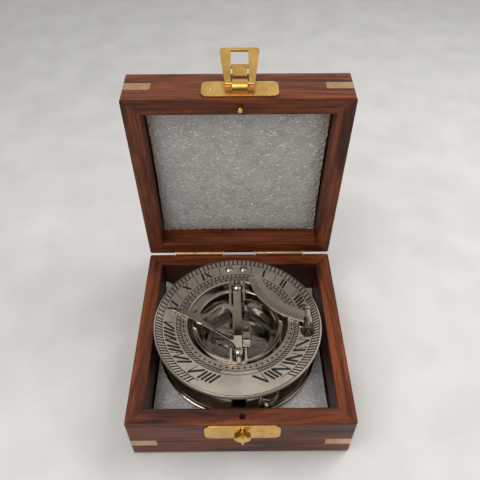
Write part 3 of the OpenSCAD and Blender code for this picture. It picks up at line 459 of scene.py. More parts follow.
@dataclass(frozen=True)
class PlainSurface(Finish):
    """A dull painted, moulded or waxed surface with slight mottling."""

    colour: str
    second: str
    roughness: float = 0.5
    mottle_mm: float = 1.5
    relief: float = 0.1

    def shade(self, tree: bpy.types.NodeTree, shader: bpy.types.Node) -> None:
        """Mixes two close colours in small patches.

        Args:
            tree: The material's node tree.
            shader: Its Principled BSDF.
        """
        place = add(tree, "ShaderNodeTexCoord").outputs["Object"]
        spots = add(
            tree, "ShaderNodeTexNoise", {"Vector": place, "Scale": 1000 / self.mottle_mm, "Detail": 3}
        ).outputs["Fac"]
        mottled = ramp(tree, spots, [(0.35, self.second), (0.65, self.colour)])
        tree.links.new(mottled, shader.inputs["Base Color"])
        shader.inputs["Roughness"].default_value = self.roughness
        bump = add(
            tree, "ShaderNodeBump", {"Height": spots, "Strength": self.relief, "Distance": 0.0002}
        ).outputs["Normal"]
        tree.links.new(bump, shader.inputs["Normal"])


# Nickel plate, buffed: sharp, warm grey reflections of the room
NICKEL = PlatedMetal("bright_nickel_plate", colour="cbc1b3", tarnish="aba193", roughness=0.07)
# Nickel plate, brushed: an even, soft, pale sheen that the engraving stands out on
NICKEL_FACE = PlatedMetal(
    "brushed_nickel_dial", colour="d8cdbf", tarnish="c0b5a6", roughness=0.32, hairline=0.15
)
# Nickel plate, lapped flat: a mirror of the bowl round it, painted dim as painted shade for the shade inside
# the compass
DIMMED_MIRROR = PlatedMetal(
    "compass_floor_nickel_painted_shade",
    colour="8b8376",
    tarnish="6f685c",
    roughness=0.03,
    spread=0.02,
    wave=0.01,
    hairline=0.0,
)
# Nickel plate, a little softer than the pieces that are handled and painted darker, as painted shade for the
# shade inside the compass under the ring
SHADED_BOWL_NICKEL = PlatedMetal(
    "bowl_nickel_painted_shade", colour="a0978a", tarnish="6d655a", roughness=0.1, hairline=0.0
)
# Nickel plate, burnished: smooth under its fine marks, and painted dark as painted shade for the shade inside
# the compass
SHADED_SCALE_NICKEL = PlatedMetal(
    "scale_nickel_painted_shade", colour="7b7468", tarnish="5d574c", roughness=0.07, hairline=0.0
)
# Brass, cast or stamped and polished by hand: warm, a little wavy and blotchy
BRASS = PlatedMetal(
    "polished_brass", colour="ecc274", tarnish="cf9f50", roughness=0.2, spread=0.12, wave_mm=5, wave=0.15
)
# Brass, filed level with the wood and sanded with it: pale, dull and scratched
INLAY = PlatedMetal(
    "filed_brass_inlay", colour="d6b48c", tarnish="b59068", roughness=0.36, spread=0.12, hairline=0.2
)
# Steel, polished: a cool grey against the nickel
STEEL = PlatedMetal("polished_steel_needle", colour="b8b4ac", tarnish="8e8a82", roughness=0.12)
# Polyethylene foam: soft and pale, with painted glints in its colour and facets whose glints move as it turns
FOAM = ExpandedFoam("expanded_foam_sheet")
# Glass: seen by its reflections and by the bend it gives to what is below
GLASS = CrownGlass("domed_crown_glass")
# Black wax, melted into the engraving and scraped level: near black, with little shine
ENAMEL = PlainSurface("black_wax_filling", colour="0b0807", second="15110e")
# Rubber, moulded: a dull black seal
RUBBER = PlainSurface("moulded_rubber", colour="1a1a1a", second="101010", roughness=0.6)
# Paint, rolled onto a studio floor: pale and matt
FLOOR_PAINT = PlainSurface(
    "painted_floor", colour="dcdad7", second="d3d1cd", roughness=0.6, mottle_mm=40, relief=0.0
)


def dress(node: str, finish: Finish) -> None:
    """Gives every material slot of a CAD node one finish.

    Args:
        node: The CAD node's name.
        finish: What it is finished with.
    """
    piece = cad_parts[node]
    for slot in piece.material_slots:
        slot.material = finish.material()
    LOG.info("dressed %s with %s", node, finish.name)


# Meshes


def make_piece(
    name: str, points: Points, faces: np.ndarray, finish: Finish, body: str, smooth: bool = True
) -> bpy.types.Object:
    """Makes a finished piece that rides on a CAD body.

    Args:
        name: The piece's name.
        points: One row of x, y, z for each vertex, in mm.
        faces: One row of vertex numbers for each face.
        finish: The piece's finish.
        body: The CAD body that it rides on.
        smooth: True to shade the faces smoothly.

    Returns:
        The new object.
    """
    mesh = bpy.data.meshes.new(name)
    mesh.from_pydata((points * MM).tolist(), [], faces.tolist())
    mesh.materials.append(finish.material())
    mesh.polygons.foreach_set("use_smooth", np.full(len(mesh.polygons), smooth))
    mesh.update()
    piece = bpy.data.objects.new(name, mesh)
    bpy.context.scene.collection.objects.link(piece)
    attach(piece, body)
    LOG.info("built %s: %d vertices, %d faces", name, len(points), len(faces))
    return piece


def ripple(x: Points, y: Points, size: float, seed: int, waves: int = 8) -> Points:
    """A smooth random height, mostly between -1 and 1: sines of seeded directions, summed.

    Args:
        x: First coordinate, in mm.
        y: Second coordinate, in mm.
        size: The mean wavelength, in mm.
        seed: Number that fixes the pattern.
        waves: How many sines there are.

    Returns:
        The heights.
    """
    dice = np.random.default_rng(seed)
    angles = dice.uniform(0, 2 * np.pi, waves)
    stretches = dice.uniform(0.6, 1.7, waves)
    phases = dice.uniform(0, 6.28, waves)
    total = np.zeros_like(x)
    for angle, stretch, phase in zip(angles, stretches, phases):
        wave = 2 * np.pi / (size * stretch)
        total = total + np.sin(wave * (x * np.cos(angle) + y * np.sin(angle)) + phase)
    # The sum grows as the root of the number of sines, and 1.6 of those brings nearly all of it within 1
    return total / waves**0.5 / 1.6


@dataclass
class FoamPad:
    """A foam sheet cut a little small for its box: crowned, with soft edges and sides that draw in.

    half and thick are the sheet's half width and its thickness. Near a side it falls by drop over the width
    edge, and by rim_drop more at the rim, and its sides draw in by pinch. Its skin lies skin lower than the
    sheet's thickness, sags in waves and is rough with fibres, and its edges are frayed. Its rear left corner
    stands up by curl, within about curl_reach. A pattern's length across has its name and _mm.
    """

    name: str
    node: str
    body: str
    half: float
    thick: float
    lid: bool = False
    count: int = 150
    crowding: float = 1.35
    seed: int = 3
    edge: float = 9.0
    drop: float = 1.6
    rim_drop: float = 1.0
    pinch: float = 0.8
    skin: float = 0.2
    sag: float = 0.35
    sag_mm: float = 34.0
    fibre: float = 0.12
    fibre_mm: float = 3.2
    fray: float = 0.25
    fray_mm: float = 2.2
    curl: float = 0.0
    curl_reach: float = 7.0
    curl_below: float = 0.8

    def surface(self) -> tuple[Points, np.ndarray]:
        """Works out the closed form: a crowned top grid, a flat bottom grid and a strip between them.

        The top falls away near each side as the square of how far over the edge's width it has come, plus a
        slow ripple and fine fibres. The rear left corner may curl up, by a bell curve round it, and its
        underside by the share curl_below of that. Both grids share their edge's plan, which draws in between
        the corners as the square of the distance from the corner.

        Returns:
            Points and faces, with the pad lying on z = 0.
        """
        n = self.count
        # More rows near the edges keep the rounding smooth: their spacing there shrinks as a power
        t = np.linspace(-1, 1, n)
        t = np.sign(t) * (1 - (1 - np.abs(t)) ** self.crowding)
        u, v = np.meshgrid(t, t)
        s = self.half
        x = u * (s - self.pinch * (1 - v**2))
        y = v * (s - self.pinch * (1 - u**2))

        def fall(a: Points) -> Points:
            """Share of the drop at a distance from the side: 1 at the side, 0 further in than the edge."""
            left = np.clip(s * (1 - np.abs(a)) / self.edge, 0, 1)
            return (1 - left) ** 2

        nearest = np.maximum(fall(u), fall(v))
        fray = self.fray * ripple(x, y, self.fray_mm, self.seed + 5) * nearest
        away = np.hypot(x + s, y - s) / self.curl_reach
        lifted = self.curl * np.exp(-(away**2))
        crown = self.thick - self.drop * np.minimum(1, fall(u) + fall(v))
        sag = self.sag * (1 + ripple(x, y, self.sag_mm, self.seed)) * 0.5
        fibres = self.fibre * (1 + ripple(x, y, self.fibre_mm, self.seed + 1))
        top = crown - sag - fibres + fray - self.skin
        rim = nearest >= 0.999
        upper = np.stack([x, y, np.where(rim, top - self.rim_drop, top) + lifted], axis=-1).reshape(-1, 3)
        lower = np.stack([x, y, self.curl_below * lifted], axis=-1).reshape(-1, 3)
        grid = np.arange(n * n).reshape(n, n)
        a, b, c, d = grid[:-1, :-1], grid[:-1, 1:], grid[1:, 1:], grid[1:, :-1]
        top_faces = np.stack([a, b, c, d], axis=-1).reshape(-1, 4)
        under_faces = np.stack([d, c, b, a], axis=-1).reshape(-1, 4) + n * n
        loop = np.concatenate([grid[0, :-1], grid[:-1, -1], grid[-1, :0:-1], grid[:0:-1, 0]])
        ahead = np.roll(loop, -1)
        side = np.stack([loop + n * n, ahead + n * n, ahead, loop], axis=-1)
        return np.concatenate([upper, lower]), np.concatenate([top_faces, under_faces, side])

    def build(self) -> bpy.types.Object:
        """Places the pad where its CAD solid is, and lets it stand for that solid.

        Returns:
            The pad's object.
        """
        points, faces = self.surface()
        if self.lid:
            points = points * np.array([1, -1, -1]) + np.array([0, 0, LID.pad_back])
            points = LID.opened(points)
        else:
            low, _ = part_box(self.node)
            points = points + np.array([0, 0, low[2] / MM])
        piece = make_piece(self.name, points, faces, FOAM, self.body)
        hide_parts(self.node)
        return piece


@dataclass(frozen=True)
class LidPlace:
    """Where the lid stands: hinge line, opening angle, and the height of its pad's back when closed."""

    angle: float = 86.0
    pin_y: float = 64.4
    pin_z: float = 36.65
    pad_back: float = 57.1

    def opened(self, points: Points) -> Points:
        """Turns points of the closed lid about the hinge line to their open place.

        Args:
            points: One row of x, y, z for each point, in mm.

        Returns:
            The turned points.
        """
        turn = math.radians(self.angle)
        y, z = points[:, 1] - self.pin_y, points[:, 2] - self.pin_z
        return np.stack(
            [
                points[:, 0],
                self.pin_y + y * math.cos(turn) + z * math.sin(turn),
                self.pin_z - y * math.sin(turn) + z * math.cos(turn),
            ],
            axis=1,
        )


LID = LidPlace()


# Engraving: flat shapes laid on a face, worked out in polar form and gathered into one mesh


@dataclass
class Engraving:
    """Shapes filled with black wax that lie on one level face round the dial's middle.

    A bearing is in degrees, clockwise from the hinge side as seen from above. The shapes are worked out in
    the instrument's own plan frame, moved by shift, and set into the box by the instrument's place and its
    small turn. They lie lift above the face.
    """

    name: str
    body: str
    shift: tuple[float, float] = (0.0, 0.0)
    level: float = 0.0
    lift: float = 0.02
    place: tuple[float, float] = (-1.5, 0.8)
    turn: float = 0.8
    points: list = field(default_factory=list)
    faces: list = field(default_factory=list)
    count: int = 0

    def quad_strip(self, one: Points, two: Points) -> None:
        """Joins two rows of plan points by faces.

        Args:
            one: The first row of x, y pairs.
            two: The second row, of the same length.
        """
        n = len(one)
        rows = np.concatenate([one, two])
        self.points.append(rows)
        k = self.count + np.arange(n - 1)
        self.faces.append(np.stack([k, k + 1, k + 1 + n, k + n], axis=-1))
        self.count += 2 * n

    def polar(self, radius: Points, bearing: Points) -> Points:
        """Plan points from radii and bearings: x is r sin b and y is r cos b."""
        b = np.radians(bearing)
        return np.stack([radius * np.sin(b), radius * np.cos(b)], axis=-1)

    def ring_line(
        self, radius: float, width: float, start: float = 0, end: float = 360, step: float = 1.5
    ) -> None:
        """Draws a circular line between two bearings: two rows half its width outside and inside a circle.

        Args:
            radius: The circle's radius, in mm.
            width: How wide the line is, in mm.
            start: The bearing where it starts.
            end: The bearing where it ends.
            step: Degrees between its points.
        """
        b = np.linspace(start, end, max(3, int(abs(end - start) / step) + 1))
        r = np.full_like(b, radius)
        self.quad_strip(self.polar(r + width / 2, b), self.polar(r - width / 2, b))

    def ticks(self, bearings: Points, low: float, high: float, width: float) -> None:
        """Draws radial strokes: each is a quad whose sides keep half the width from its bearing.

        Args:
            bearings: Where they stand.
            low: Radius of their inner ends, in mm.
            high: Radius of their outer ends, in mm.
            width: How wide they are, in mm.
        """
        for bearing in bearings:
            b = math.radians(bearing)
            out = np.array([math.sin(b), math.cos(b)])
            side = np.array([out[1], -out[0]]) * width / 2
            one = np.array([out * low - side, out * high - side])
            two = np.array([out * low + side, out * high + side])
            self.quad_strip(one, two)

    def strokes(self, a: Points, b: Points, width: float) -> None:
        """Draws straight strokes of one width from points a to points b.

        Each is a quad: its ends moved half the width to both sides, square to its run.

        Args:
            a: One row of x, y for each stroke's start.
            b: One row of x, y for each stroke's end.
            width: How wide they are, in mm.
        """
        run = (b - a) / np.linalg.norm(b - a, axis=-1, keepdims=True)
        side = np.stack([-run[:, 1], run[:, 0]], axis=-1) * width / 2
        self.points.append(np.stack([a - side, b - side, b + side, a + side], axis=1).reshape(-1, 2))
        self.faces.append(self.count + np.arange(4 * len(a)).reshape(-1, 4))
        self.count += 4 * len(a)

    def spot(self, middle: Points, radius: float) -> None:
        """Draws a small lozenge: its corners lie radius away from its middle along x and y."""
        x, y = middle
        one = np.array([[x - radius, y], [x, y + radius]])
        two = np.array([[x, y - radius], [x + radius, y]])
        self.quad_strip(one, two)

    def build(self, finish: Finish) -> bpy.types.Object:
        """Gathers the shapes into one mesh just above the face, with every face turned upwards.

        Args:
            finish: What fills the engraving.

        Returns:
            The engraving's object.
        """
        plan = np.concatenate(self.points)
        faces = np.concatenate(self.faces)
        corner = plan[faces]
        edge_a, edge_b = corner[:, 1] - corner[:, 0], corner[:, 3] - corner[:, 0]
        downward = edge_a[:, 0] * edge_b[:, 1] - edge_a[:, 1] * edge_b[:, 0] < 0
        faces[downward] = faces[downward][:, ::-1]
        x, y = plan[:, 0] + self.shift[0], plan[:, 1] + self.shift[1]
        t = math.radians(self.turn)
        points = np.column_stack(
            [
                self.place[0] + x * math.cos(t) - y * math.sin(t),
                self.place[1] + x * math.sin(t) + y * math.cos(t),
                np.full(len(plan), self.level + self.lift),
            ]
        )
        return make_piece(self.name, points, faces, finish, self.body, smooth=False)


class Numeral(Enum):
    """Roman numerals as the dial's engraver drew them."""

    I = "I"
    II = "II"
    III = "III"
    IIII = "IIII"
    V = "V"
    VI = "VI"
    VII = "VII"
    VIII = "VIII"
    IX = "IX"
    X = "X"
    XI = "XI"


@dataclass
class HourFace:
    """The hour ring's engraving: ladders, circles, half-hour lines and numerals.

    Hour strokes run towards the foot of the gnomon's straight edge and not towards the ring's middle, as on
    any level sundial. The numerals' heads point inwards, and they read against the clock.

    A ladder and the band of letters are given by their inner and outer radii, and ends are the bearings that
    something runs between. A ladder's two steps are those about noon and those in the early and late hours.
    thick and thin are a letter's strokes, the pitches are how much room an I and a wider letter take, and a
    V or X opens by spread to both sides. A half-hour line carries dashes at given shares of its length.
    """

    z_face: float = 43.0
    style_foot: float = -26.5
    rim_line: float = 50.8
    ladder: tuple[float, float] = (46.7, 50.8)
    letters: tuple[float, float] = (39.3, 45.7)
    inner_ladder: tuple[float, float] = (35.5, 37.9)
    chain: tuple[float, float, float] = (32.5, 33.6, 34.7)
    band_ends: tuple[float, float] = (-151.0, 149.0)
    inner_ends: tuple[float, float] = (-158.0, 157.0)
    noon_ends: tuple[float, float] = (-91.0, 75.0)
    slot_ends: tuple[float, float] = (75.0, 106.0)
    ladder_steps: tuple[float, float] = (3.68, 2.48)
    inner_steps: tuple[float, float] = (4.1, 2.9)
    thick: float = 1.4
    thin: float = 0.5
    line: float = 0.42
    foot_line_share: float = 1.2
    chain_line: float = 0.3
    bead_line: float = 0.35
    bead_step: float = 6.0
    bead_half: float = 0.85
    tick: float = 0.88
    inner_tick_share: float = 0.85
    pitch_i: float = 2.15
    pitch_wide: float = 5.0
    spread: float = 2.0
    half_hours: tuple[float, ...] = (13.6, 36.8, 61.0, 107.5, 119.3, -15.5, -38.8, -61.6, -107.0, -121.5)
    half_hour_line: float = 0.3
    dashes: tuple[float, float, float] = (0.12, 0.5, 0.88)
    dash_half: float = 0.07
    dash_width: float = 0.75
    hours: dict[Numeral, tuple[float, ...]] = field(
        default_factory=lambda: {
            Numeral.I: (25.7,),
            Numeral.II: (46.3,),
            Numeral.III: (69.0,),
            Numeral.V: (112.5, -143.0),
            Numeral.VI: (125.8, -127.5),
            Numeral.VII: (139.0, -112.5),
            Numeral.VIII: (156.3, -97.0),
            Numeral.IX: (-74.0,),
            Numeral.X: (-50.5,),
            Numeral.XI: (-28.5,),
            Numeral.IIII: (-155.8,),
        }
    )

    def meet(self, bearing: Points | float, aside: Points | float, radius: float) -> Points:
        """Works out where hour strokes cross a circle.

        A stroke passes the middle of the numerals' band at its bearing, moved aside square to its own run.
        With start point A and direction d, the length t along it solves |A + t d| = radius.

        Args:
            bearing: Bearings of the strokes, in degrees.
            aside: How far each is moved clockwise, in mm.
            radius: The circle's radius, in mm.

        Returns:
            One row of x, y for each stroke.
        """
        b = np.radians(np.atleast_1d(bearing).astype(float))
        base = sum(self.letters) / 2 * np.stack([np.sin(b), np.cos(b)], axis=-1)
        ray = base - np.array([0.0, self.style_foot])
        ray /= np.linalg.norm(ray, axis=-1, keepdims=True)
        square = np.stack([ray[:, 1], -ray[:, 0]], axis=-1)
        start = base + square * np.atleast_1d(aside)[:, None]
        along = np.sum(start * ray, axis=-1)
        t = -along + np.sqrt(along**2 - np.sum(start**2, axis=-1) + radius**2)
        return start + ray * t[:, None]

    def stroke(self, cut: Engraving, bearing: float, out: float, into: float, width: float) -> None:
        """Cuts one stroke of a letter, moved aside by out at its outer end and by into at its inner end."""
        low, high = self.letters
        cut.strokes(self.meet(bearing, out, high), self.meet(bearing, into, low), width)

    def write(self, cut: Engraving, numeral: Numeral, bearing: float) -> None:
        """Cuts one numeral, its letters set side by side about its bearing.

        Args:
            cut: The engraving that takes the strokes.
            numeral: What to write.
            bearing: The bearing of its middle, in degrees.
        """
        pitches = [self.pitch_i if letter == "I" else self.pitch_wide for letter in numeral.value]
        place = sum(pitches) / 2
        away = math.copysign(self.spread, bearing)
        for letter, pitch in zip(numeral.value, pitches):
            middle = place - pitch / 2
            place -= pitch
            if letter == "I":
                self.stroke(cut, bearing, middle, middle, self.thick)
            elif letter == "V":
                self.stroke(cut, bearing, middle, middle + away, self.thick)
                self.stroke(cut, bearing, middle, middle - away, self.thin)
            else:
                self.stroke(cut, bearing, middle + away, middle - away, self.thick)
                self.stroke(cut, bearing, middle - away, middle + away, self.thin)

    def rungs(
        self,
        cut: Engraving,
        ladder: tuple[float, float],
        ends: tuple[float, float],
        steps: tuple[float, float],
        width: float,
    ) -> None:
        """Cuts a ladder's rungs: wide steps about noon, close ones in the early and late hours.

        Args:
            cut: The engraving that takes the strokes.
            ladder: The ladder's inner and outer radii, in mm.
            ends: The bearings that it runs between.
            steps: The steps about noon and at the sides, in degrees.
            width: How wide a rung is, in mm.
        """
        start, end = ends
        first, last = self.noon_ends
        noon_step, side_step = steps
        bearings = np.concatenate(
            [
                np.arange(first - side_step, start - 0.1, -side_step),
                np.arange(first, last, noon_step),
                np.arange(last, end + 0.1, side_step),
            ]
        )
        still = np.zeros_like(bearings)
        low, high = ladder
        cut.strokes(self.meet(bearings, still, low), self.meet(bearings, still, high), width)

    def half_hour(self, cut: Engraving, bearing: float) -> None:
        """Cuts one half-hour line with its dashes.

        Args:
            cut: The engraving that takes the strokes.
            bearing: The line's bearing, in degrees.
        """
        one, two = (self.meet(bearing, 0.0, radius) for radius in self.letters)
        cut.strokes(one, two, self.half_hour_line)
        middle = one + (two - one) * np.array(self.dashes)[:, None]
        step = (two - one) * self.dash_half
        cut.strokes(middle - step, middle + step, self.dash_width)

    def build(self) -> bpy.types.Object:
        """Cuts the whole face.

        Returns:
            The engraving's object.
        """
        cut = Engraving("hour_face_engraving", "dial", level=self.z_face)
        cut.ring_line(self.rim_line, self.line)
        start, end = self.band_ends
        gap_start, gap_end = self.slot_ends
        for first, last in ((start, gap_start), (gap_end, end)):
            cut.ring_line(self.ladder[0], self.line, first, last)
        self.rungs(cut, self.ladder, self.band_ends, self.ladder_steps, self.tick)
        inner_tick = self.tick * self.inner_tick_share
        self.rungs(cut, self.inner_ladder, self.inner_ends, self.inner_steps, inner_tick)
        for radius, width in (
            (self.inner_ladder[1], self.line),
            (self.inner_ladder[0], self.line * self.foot_line_share),
            (self.chain[2], self.chain_line),
            (self.chain[0], self.chain_line),
            (self.chain[1], self.bead_line),
        ):
            cut.ring_line(radius, width)
        for bearing in np.arange(0, 360, self.bead_step):
            cut.spot(cut.polar(np.array(self.chain[1]), np.array(bearing)), self.bead_half)
        for bearing in self.half_hours:
            self.half_hour(cut, bearing)
        for numeral, bearings in self.hours.items():
            for bearing in bearings:
                self.write(cut, numeral, bearing)
        return cut.build(ENAMEL)


@dataclass
class ArcFace:
    """The latitude arc's scale: lines and a ladder along its outer edge, in the arc's own circle.

    depths are how far the scale's circles lie within that edge. marks are the three rows of ticks between
    them: each takes every so many of the scale's steps, and has its width.
    """

    middle: tuple[float, float] = (51.35, 40.156)
    radius: float = 44.0
    z_face: float = 44.6
    span: tuple[float, float] = (190.0, 258.5)
    depths: tuple[float, float, float, float] = (1.0, 2.6, 4.0, 5.2)
    lines: tuple[float, float, float] = (0.2, 0.22, 0.2)
    step: float = 1.5
    marks: tuple[tuple[int, float], ...] = ((1, 0.26), (2, 0.26), (6, 0.3))

    def build(self) -> bpy.types.Object:
        """Cuts the scale.

        Returns:
            The engraving's object.
        """
        cut = Engraving("latitude_arc_engraving", "arc", shift=self.middle, level=self.z_face)
        start, end = (90 - a for a in self.span)
        for depth, width in zip(self.depths, self.lines):
            cut.ring_line(self.radius - depth, width, start, end)
        bearings = np.arange(end, start, self.step)
        for near, far, (every, width) in zip(self.depths, self.depths[1:], self.marks):
            cut.ticks(bearings[::every], self.radius - far, self.radius - near, width)
        return cut.build(ENAMEL)


@dataclass
class DegreeFace:
    """Degree marks on the sloping ring round the compass floor.

    The ring falls by slope from its outer to its inner edge, apart from flat, its level rim. rim and foot
    are how far the two lines lie from those edges. marks are the two rows of ticks: their step in degrees,
    how far they reach in from the outer edge, and their width. Figures are too fine to show, and three
    short strokes stand for each.
    """

    z_high: float = 27.3
    inner: float = 20.85
    outer: float = 24.85
    slope: float = 1.6
    flat: float = 0.6
    lift: float = 0.03
    rim: float = 0.4
    foot: float = 0.35
    line: float = 0.16
    marks: tuple[tuple[int, float, float], ...] = ((5, 1.3, 0.16), (15, 1.9, 0.2))
    figure_step: int = 30
    figure_turns: tuple[float, float, float] = (-3.84, 0.0, 3.84)
    figure_ends: tuple[float, float] = (0.8, 2.2)
    figure_width: float = 0.26

    def build(self) -> bpy.types.Object:
        """Cuts ticks and lines, and lays them on the slope: their height falls evenly towards the middle.

        Returns:
            The engraving's object.
        """
        cut = Engraving("degree_ring_engraving", "instrument")
        cut.ring_line(self.outer - self.rim, self.line)
        cut.ring_line(self.inner + self.foot, self.line)
        for step, depth, width in self.marks:
            cut.ticks(np.arange(0, 360, step), self.outer - depth, self.outer - self.rim, width)
        figures = np.arange(0, 360, self.figure_step)[:, None] + np.array(self.figure_turns)
        low, high = self.figure_ends
        cut.ticks(figures.ravel(), self.inner + low, self.outer - high, self.figure_width)
        piece = cut.build(ENAMEL)
        mesh = piece.data
        places = np.empty(len(mesh.vertices) * 3)
        mesh.vertices.foreach_get("co", places)
        places = places.reshape(-1, 3)
        r = np.hypot(places[:, 0] / MM - cut.place[0], places[:, 1] / MM - cut.place[1])
        share = np.clip((r - self.inner) / (self.outer - self.flat - self.inner), 0, 1)
        places[:, 2] = (self.z_high - self.slope * (1 - share) + self.lift) * MM
        mesh.vertices.foreach_set("co", places.ravel())
        mesh.update()
        return piece


@dataclass
class CardFace:
    """The rose on the compass floor, the CAD's compass_card: an eight-pointed star and a ring of ticks.

    Every second point is as long as reach and the others the share short of it. The star is narrowest at
    the share waist of reach. rings are how far outside the star the two circles lie.
    """

    z_face: float = 22.7
    reach: float = 15.0
    tips: int = 8
    short: float = 0.68
    waist: float = 0.2
    rings: tuple[float, float] = (1.2, 2.2)
    line: float = 0.25
    step: float = 7.5
    tick: float = 0.2

    def build(self) -> bpy.types.Object:
        """Cuts the star, of which one half of each point is filled, and the ring.

        Returns:
            The engraving's object.
        """
        cut = Engraving("card_rose_print", "instrument", level=self.z_face)
        turn = 360 / self.tips
        for k in range(self.tips):
            reach = self.reach * (1.0 if k % 2 == 0 else self.short)
            tip = cut.polar(np.array(reach), np.array(turn * k))
            waist = cut.polar(np.array(self.reach * self.waist), np.array(turn * k + turn / 2))
            cut.quad_strip(np.array([[0.0, 0.0], tip * 0.5]), np.array([waist, tip]))
        low, high = (self.reach + out for out in self.rings)
        cut.ring_line(low, self.line)
        cut.ring_line(high, self.line)
        cut.ticks(np.arange(0, 360, self.step), low, high, self.tick)
        return cut.build(ENAMEL)


# Sub-assemblies


@dataclass
class Box:
    """The wooden box and lid: boards, foam, brass.

    Each board has the way its grain runs and its offset in the wood. The faces inside the base are painted
    darker by the share given below, as painted shade for the shade inside the box.
    """

    boards: dict[str, tuple[Grain, float]] = field(
        default_factory=lambda: {
            "base_front_wall": (Grain.ALONG_X, 1.0),
            "base_rear_wall": (Grain.ALONG_X, 2.0),
            "base_left_wall": (Grain.ALONG_Y, 3.0),
            "base_right_wall": (Grain.ALONG_Y, 4.0),
            "base_floor": (Grain.ALONG_X, 5.0),
            "lid_front_wall": (Grain.ALONG_X, 6.0),
            "lid_rear_wall": (Grain.ALONG_X, 7.0),
            "lid_left_wall": (Grain.UP_THE_LID, 8.0),
            "lid_right_wall": (Grain.UP_THE_LID, 9.0),
            "lid_panel": (Grain.ALONG_X, 10.0),
        }
    )
    # Painted shade: how much darker the faces inside the base are painted
    base_inner_shade: float = 0.65
    brass: tuple[str, ...] = (
        "catch_plate",
        "catch_knob",
        "catch_nails",
        "clasp_plate",
        "clasp_nails",
        "clasp_loop",
        "locating_peg",
    )
    pale_brass: tuple[str, ...] = (
        "base_corner_keys",
        "lid_corner_keys",
        "box_hinge_lower_leaves",
        "box_hinge_upper_leaves",
        "box_hinge_pins",
        "box_hinge_lower_screws",
        "box_hinge_upper_screws",
    )

    def build(self) -> None:
        """Dresses the boards and the brass, and lays the pads."""
        for node, (grain, offset) in self.boards.items():
            inner = self.base_inner_shade if node.startswith("base") else 0.0
            dress(node, OiledSheesham(f"oiled_sheesham_{node}", grain=grain, offset=offset, inner_shade_share=inner))
        for node in self.brass:
            dress(node, BRASS)
        for node in self.pale_brass:
            dress(node, INLAY)
        FoamPad("base_foam_sheet", "base_pad", "box", half=53.6, thick=7.1, curl=8.5).build()
        FoamPad("lid_foam_sheet", "lid_pad", "lid", half=53.6, thick=9.3, lid=True, seed=11, fray=0.6).build()


@dataclass
class Instrument:
    """The nickel-plated instrument: base, compass and dial."""

    bright: tuple[str, ...] = (
        "base_plate",
        "bowl_screws",
        "bezel",
        "dial_hinge_post",
        "dial_hinge_pin",
        "arc_post",
        "dial_hinge_leaf",
        "dial_hinge_screws",
        "rear_lug",
        "front_lug",
        "gnomon_pivots",
        "arc_bracket",
        "arc_hinge_pin",
        "gnomon",
        "gnomon_spring",
        "spring_screw",
        "front_levelling_screw",
        "right_levelling_screw",
        "left_levelling_screw",
    )

    def build(self) -> None:
        """Dresses the metal, the seal and the glass, and cuts the scales."""
        for node in self.bright:
            dress(node, NICKEL)
        for node in ("hour_ring", "latitude_arc"):
            dress(node, NICKEL_FACE)
        dress("compass_bowl", SHADED_BOWL_NICKEL)
        dress("degree_ring", SHADED_SCALE_NICKEL)
        dress("compass_card", DIMMED_MIRROR)
        dress("glass_gasket", RUBBER)
        dress("compass_glass", GLASS)
        dress("compass_needle", STEEL)
        for node in ("needle_cap", "needle_pivot"):
            dress(node, BRASS)
        HourFace().build()
        ArcFace().build()
        DegreeFace().build()
        CardFace().build()


@dataclass(frozen=True)
class Lamp:
    """A square area lamp: its place and what it is aimed at, its side in mm and its power in watts.

    mirrored says whether metal and glass show it.
    """

    name: str
    place: tuple[float, float, float]
    target: tuple[float, float, float]
    size: float
    power: float
    mirrored: bool = True

    def build(self) -> None:
        """Hangs the lamp and turns it to its target."""
        data = bpy.data.lights.new(self.name, "AREA")
        data.size = self.size * MM
        data.energy = self.power
        made = bpy.data.objects.new(self.name, data)
        made.visible_glossy = made.visible_transmission = self.mirrored
        made.location = [v * MM for v in self.place]
        aim = np.array(self.target, float) - np.array(self.place, float)
        flat = math.hypot(aim[0], aim[1])
        made.rotation_euler = (math.atan2(flat, -aim[2]), 0, math.atan2(aim[1], aim[0]) - math.pi / 2)
        bpy.context.scene.collection.objects.link(made)


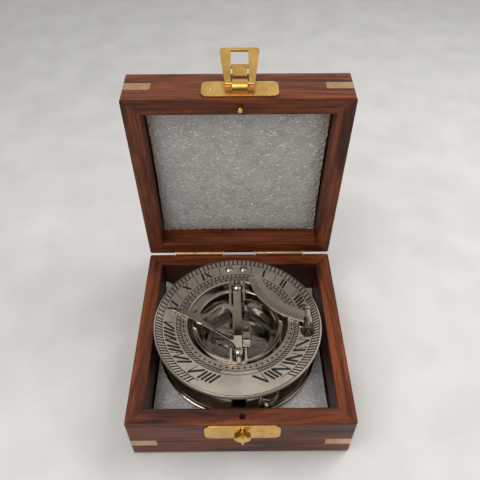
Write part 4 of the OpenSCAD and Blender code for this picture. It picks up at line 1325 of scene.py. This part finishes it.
@dataclass
class Studio:
    """Floor, light and camera.

    place and tilt are the camera's, in mm and degrees. floor_half is the floor's half width, and floor_gap
    how far it lies under the box. The room that metal and glass show brightens towards bright_side. room
    gives its colours from one end of room_span to the other, where -1 is straight away from that side and
    1 straight towards it.
    """

    lens: float = 38.235
    sensor: float = 36.0
    place: tuple[float, float, float] = (-0.9, -187.9, 302.3)
    tilt: tuple[float, float, float] = (45.02, 0.15, -0.48)
    floor_half: float = 3000.0
    floor_gap: float = 0.05
    soft: str = "ecebea"
    soft_strength: float = 0.42
    wall: str = "d3d0cb"
    bright_side: tuple[float, float, float] = (0.62, 0.78, 0.0)
    room_span: tuple[float, float] = (-0.7, 0.3)
    room: tuple[tuple[float, str], ...] = ((0.0, "4a4540"), (0.5, "8f8a84"), (1.0, "dad7d2"))
    lamps: tuple[Lamp, ...] = (
        Lamp("window", place=(420, 160, 620), target=(0, 0, 40), size=450, power=3.0, mirrored=False),
        Lamp("ceiling", place=(-250, -260, 700), target=(0, 0, 20), size=600, power=3.3),
    )

    def camera(self) -> None:
        """Sets the camera where the photo was taken from."""
        data = bpy.data.cameras.new("camera")
        data.lens = self.lens
        data.sensor_width = self.sensor
        data.clip_start = 10 * MM
        made = bpy.data.objects.new("camera", data)
        made.location = [v * MM for v in self.place]
        made.rotation_euler = [math.radians(v) for v in self.tilt]
        bpy.context.scene.collection.objects.link(made)
        bpy.context.scene.camera = made

    def floor(self) -> None:
        """Lays a wide pale painted floor, a hair under the box."""
        side, depth = self.floor_half, -self.floor_gap
        corners = np.array(
            [[-side, -side, depth], [side, -side, depth], [side, side, depth], [-side, side, depth]]
        )
        mesh = bpy.data.meshes.new("floor")
        mesh.from_pydata((corners * MM).tolist(), [], [(0, 1, 2, 3)])
        made = bpy.data.objects.new("floor", mesh)
        bpy.context.scene.collection.objects.link(made)
        mesh.materials.append(FLOOR_PAINT.material())

    def world(self) -> None:
        """Sets a pale world: a soft light, a plain wall for the camera, and a room for metal and glass."""
        world = bpy.data.worlds.new("studio")
        bpy.context.scene.world = world
        world.use_nodes = True
        tree = world.node_tree
        tree.nodes.clear()
        path = add(tree, "ShaderNodeLightPath")
        mirrored = add(
            tree,
            "ShaderNodeMath",
            {0: path.outputs["Is Glossy Ray"], 1: path.outputs["Is Transmission Ray"]},
            operation="MAXIMUM",
        ).outputs[0]
        soft = add(
            tree, "ShaderNodeBackground", {"Color": linear(self.soft), "Strength": self.soft_strength}
        ).outputs[0]
        wall = add(tree, "ShaderNodeBackground", {"Color": linear(self.wall), "Strength": 1.0}).outputs[0]
        # The room is darker in front on the left, away from the window
        way = add(
            tree,
            "ShaderNodeVectorMath",
            {0: add(tree, "ShaderNodeTexCoord").outputs["Generated"], 1: self.bright_side},
            operation="DOT_PRODUCT",
        ).outputs["Value"]
        dim, bright = self.room_span
        share = add(
            tree, "ShaderNodeMapRange", {"Value": way, "From Min": dim, "From Max": bright}
        ).outputs["Result"]
        room = ramp(tree, share, list(self.room))
        pale = add(tree, "ShaderNodeBackground", {"Color": room, "Strength": 1.0}).outputs[0]
        seen = add(tree, "ShaderNodeMixShader", {0: mirrored, 1: soft, 2: pale}).outputs[0]
        mixed = add(
            tree, "ShaderNodeMixShader", {0: path.outputs["Is Camera Ray"], 1: seen, 2: wall}
        ).outputs[0]
        add(tree, "ShaderNodeOutputWorld", {"Surface": mixed})

    def build(self) -> None:
        """Sets everything that isn't the object."""
        self.camera()
        self.floor()
        self.world()
        for lamp in self.lamps:
            lamp.build()
        bpy.context.scene.view_settings.view_transform = "Standard"


def main() -> None:
    """Builds the classes in order."""
    logging.basicConfig(level=logging.INFO, format="%(name)s: %(message)s")
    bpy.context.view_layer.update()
    Studio().build()
    Box().build()
    Instrument().build()


if __name__ == "__main__":
    main()
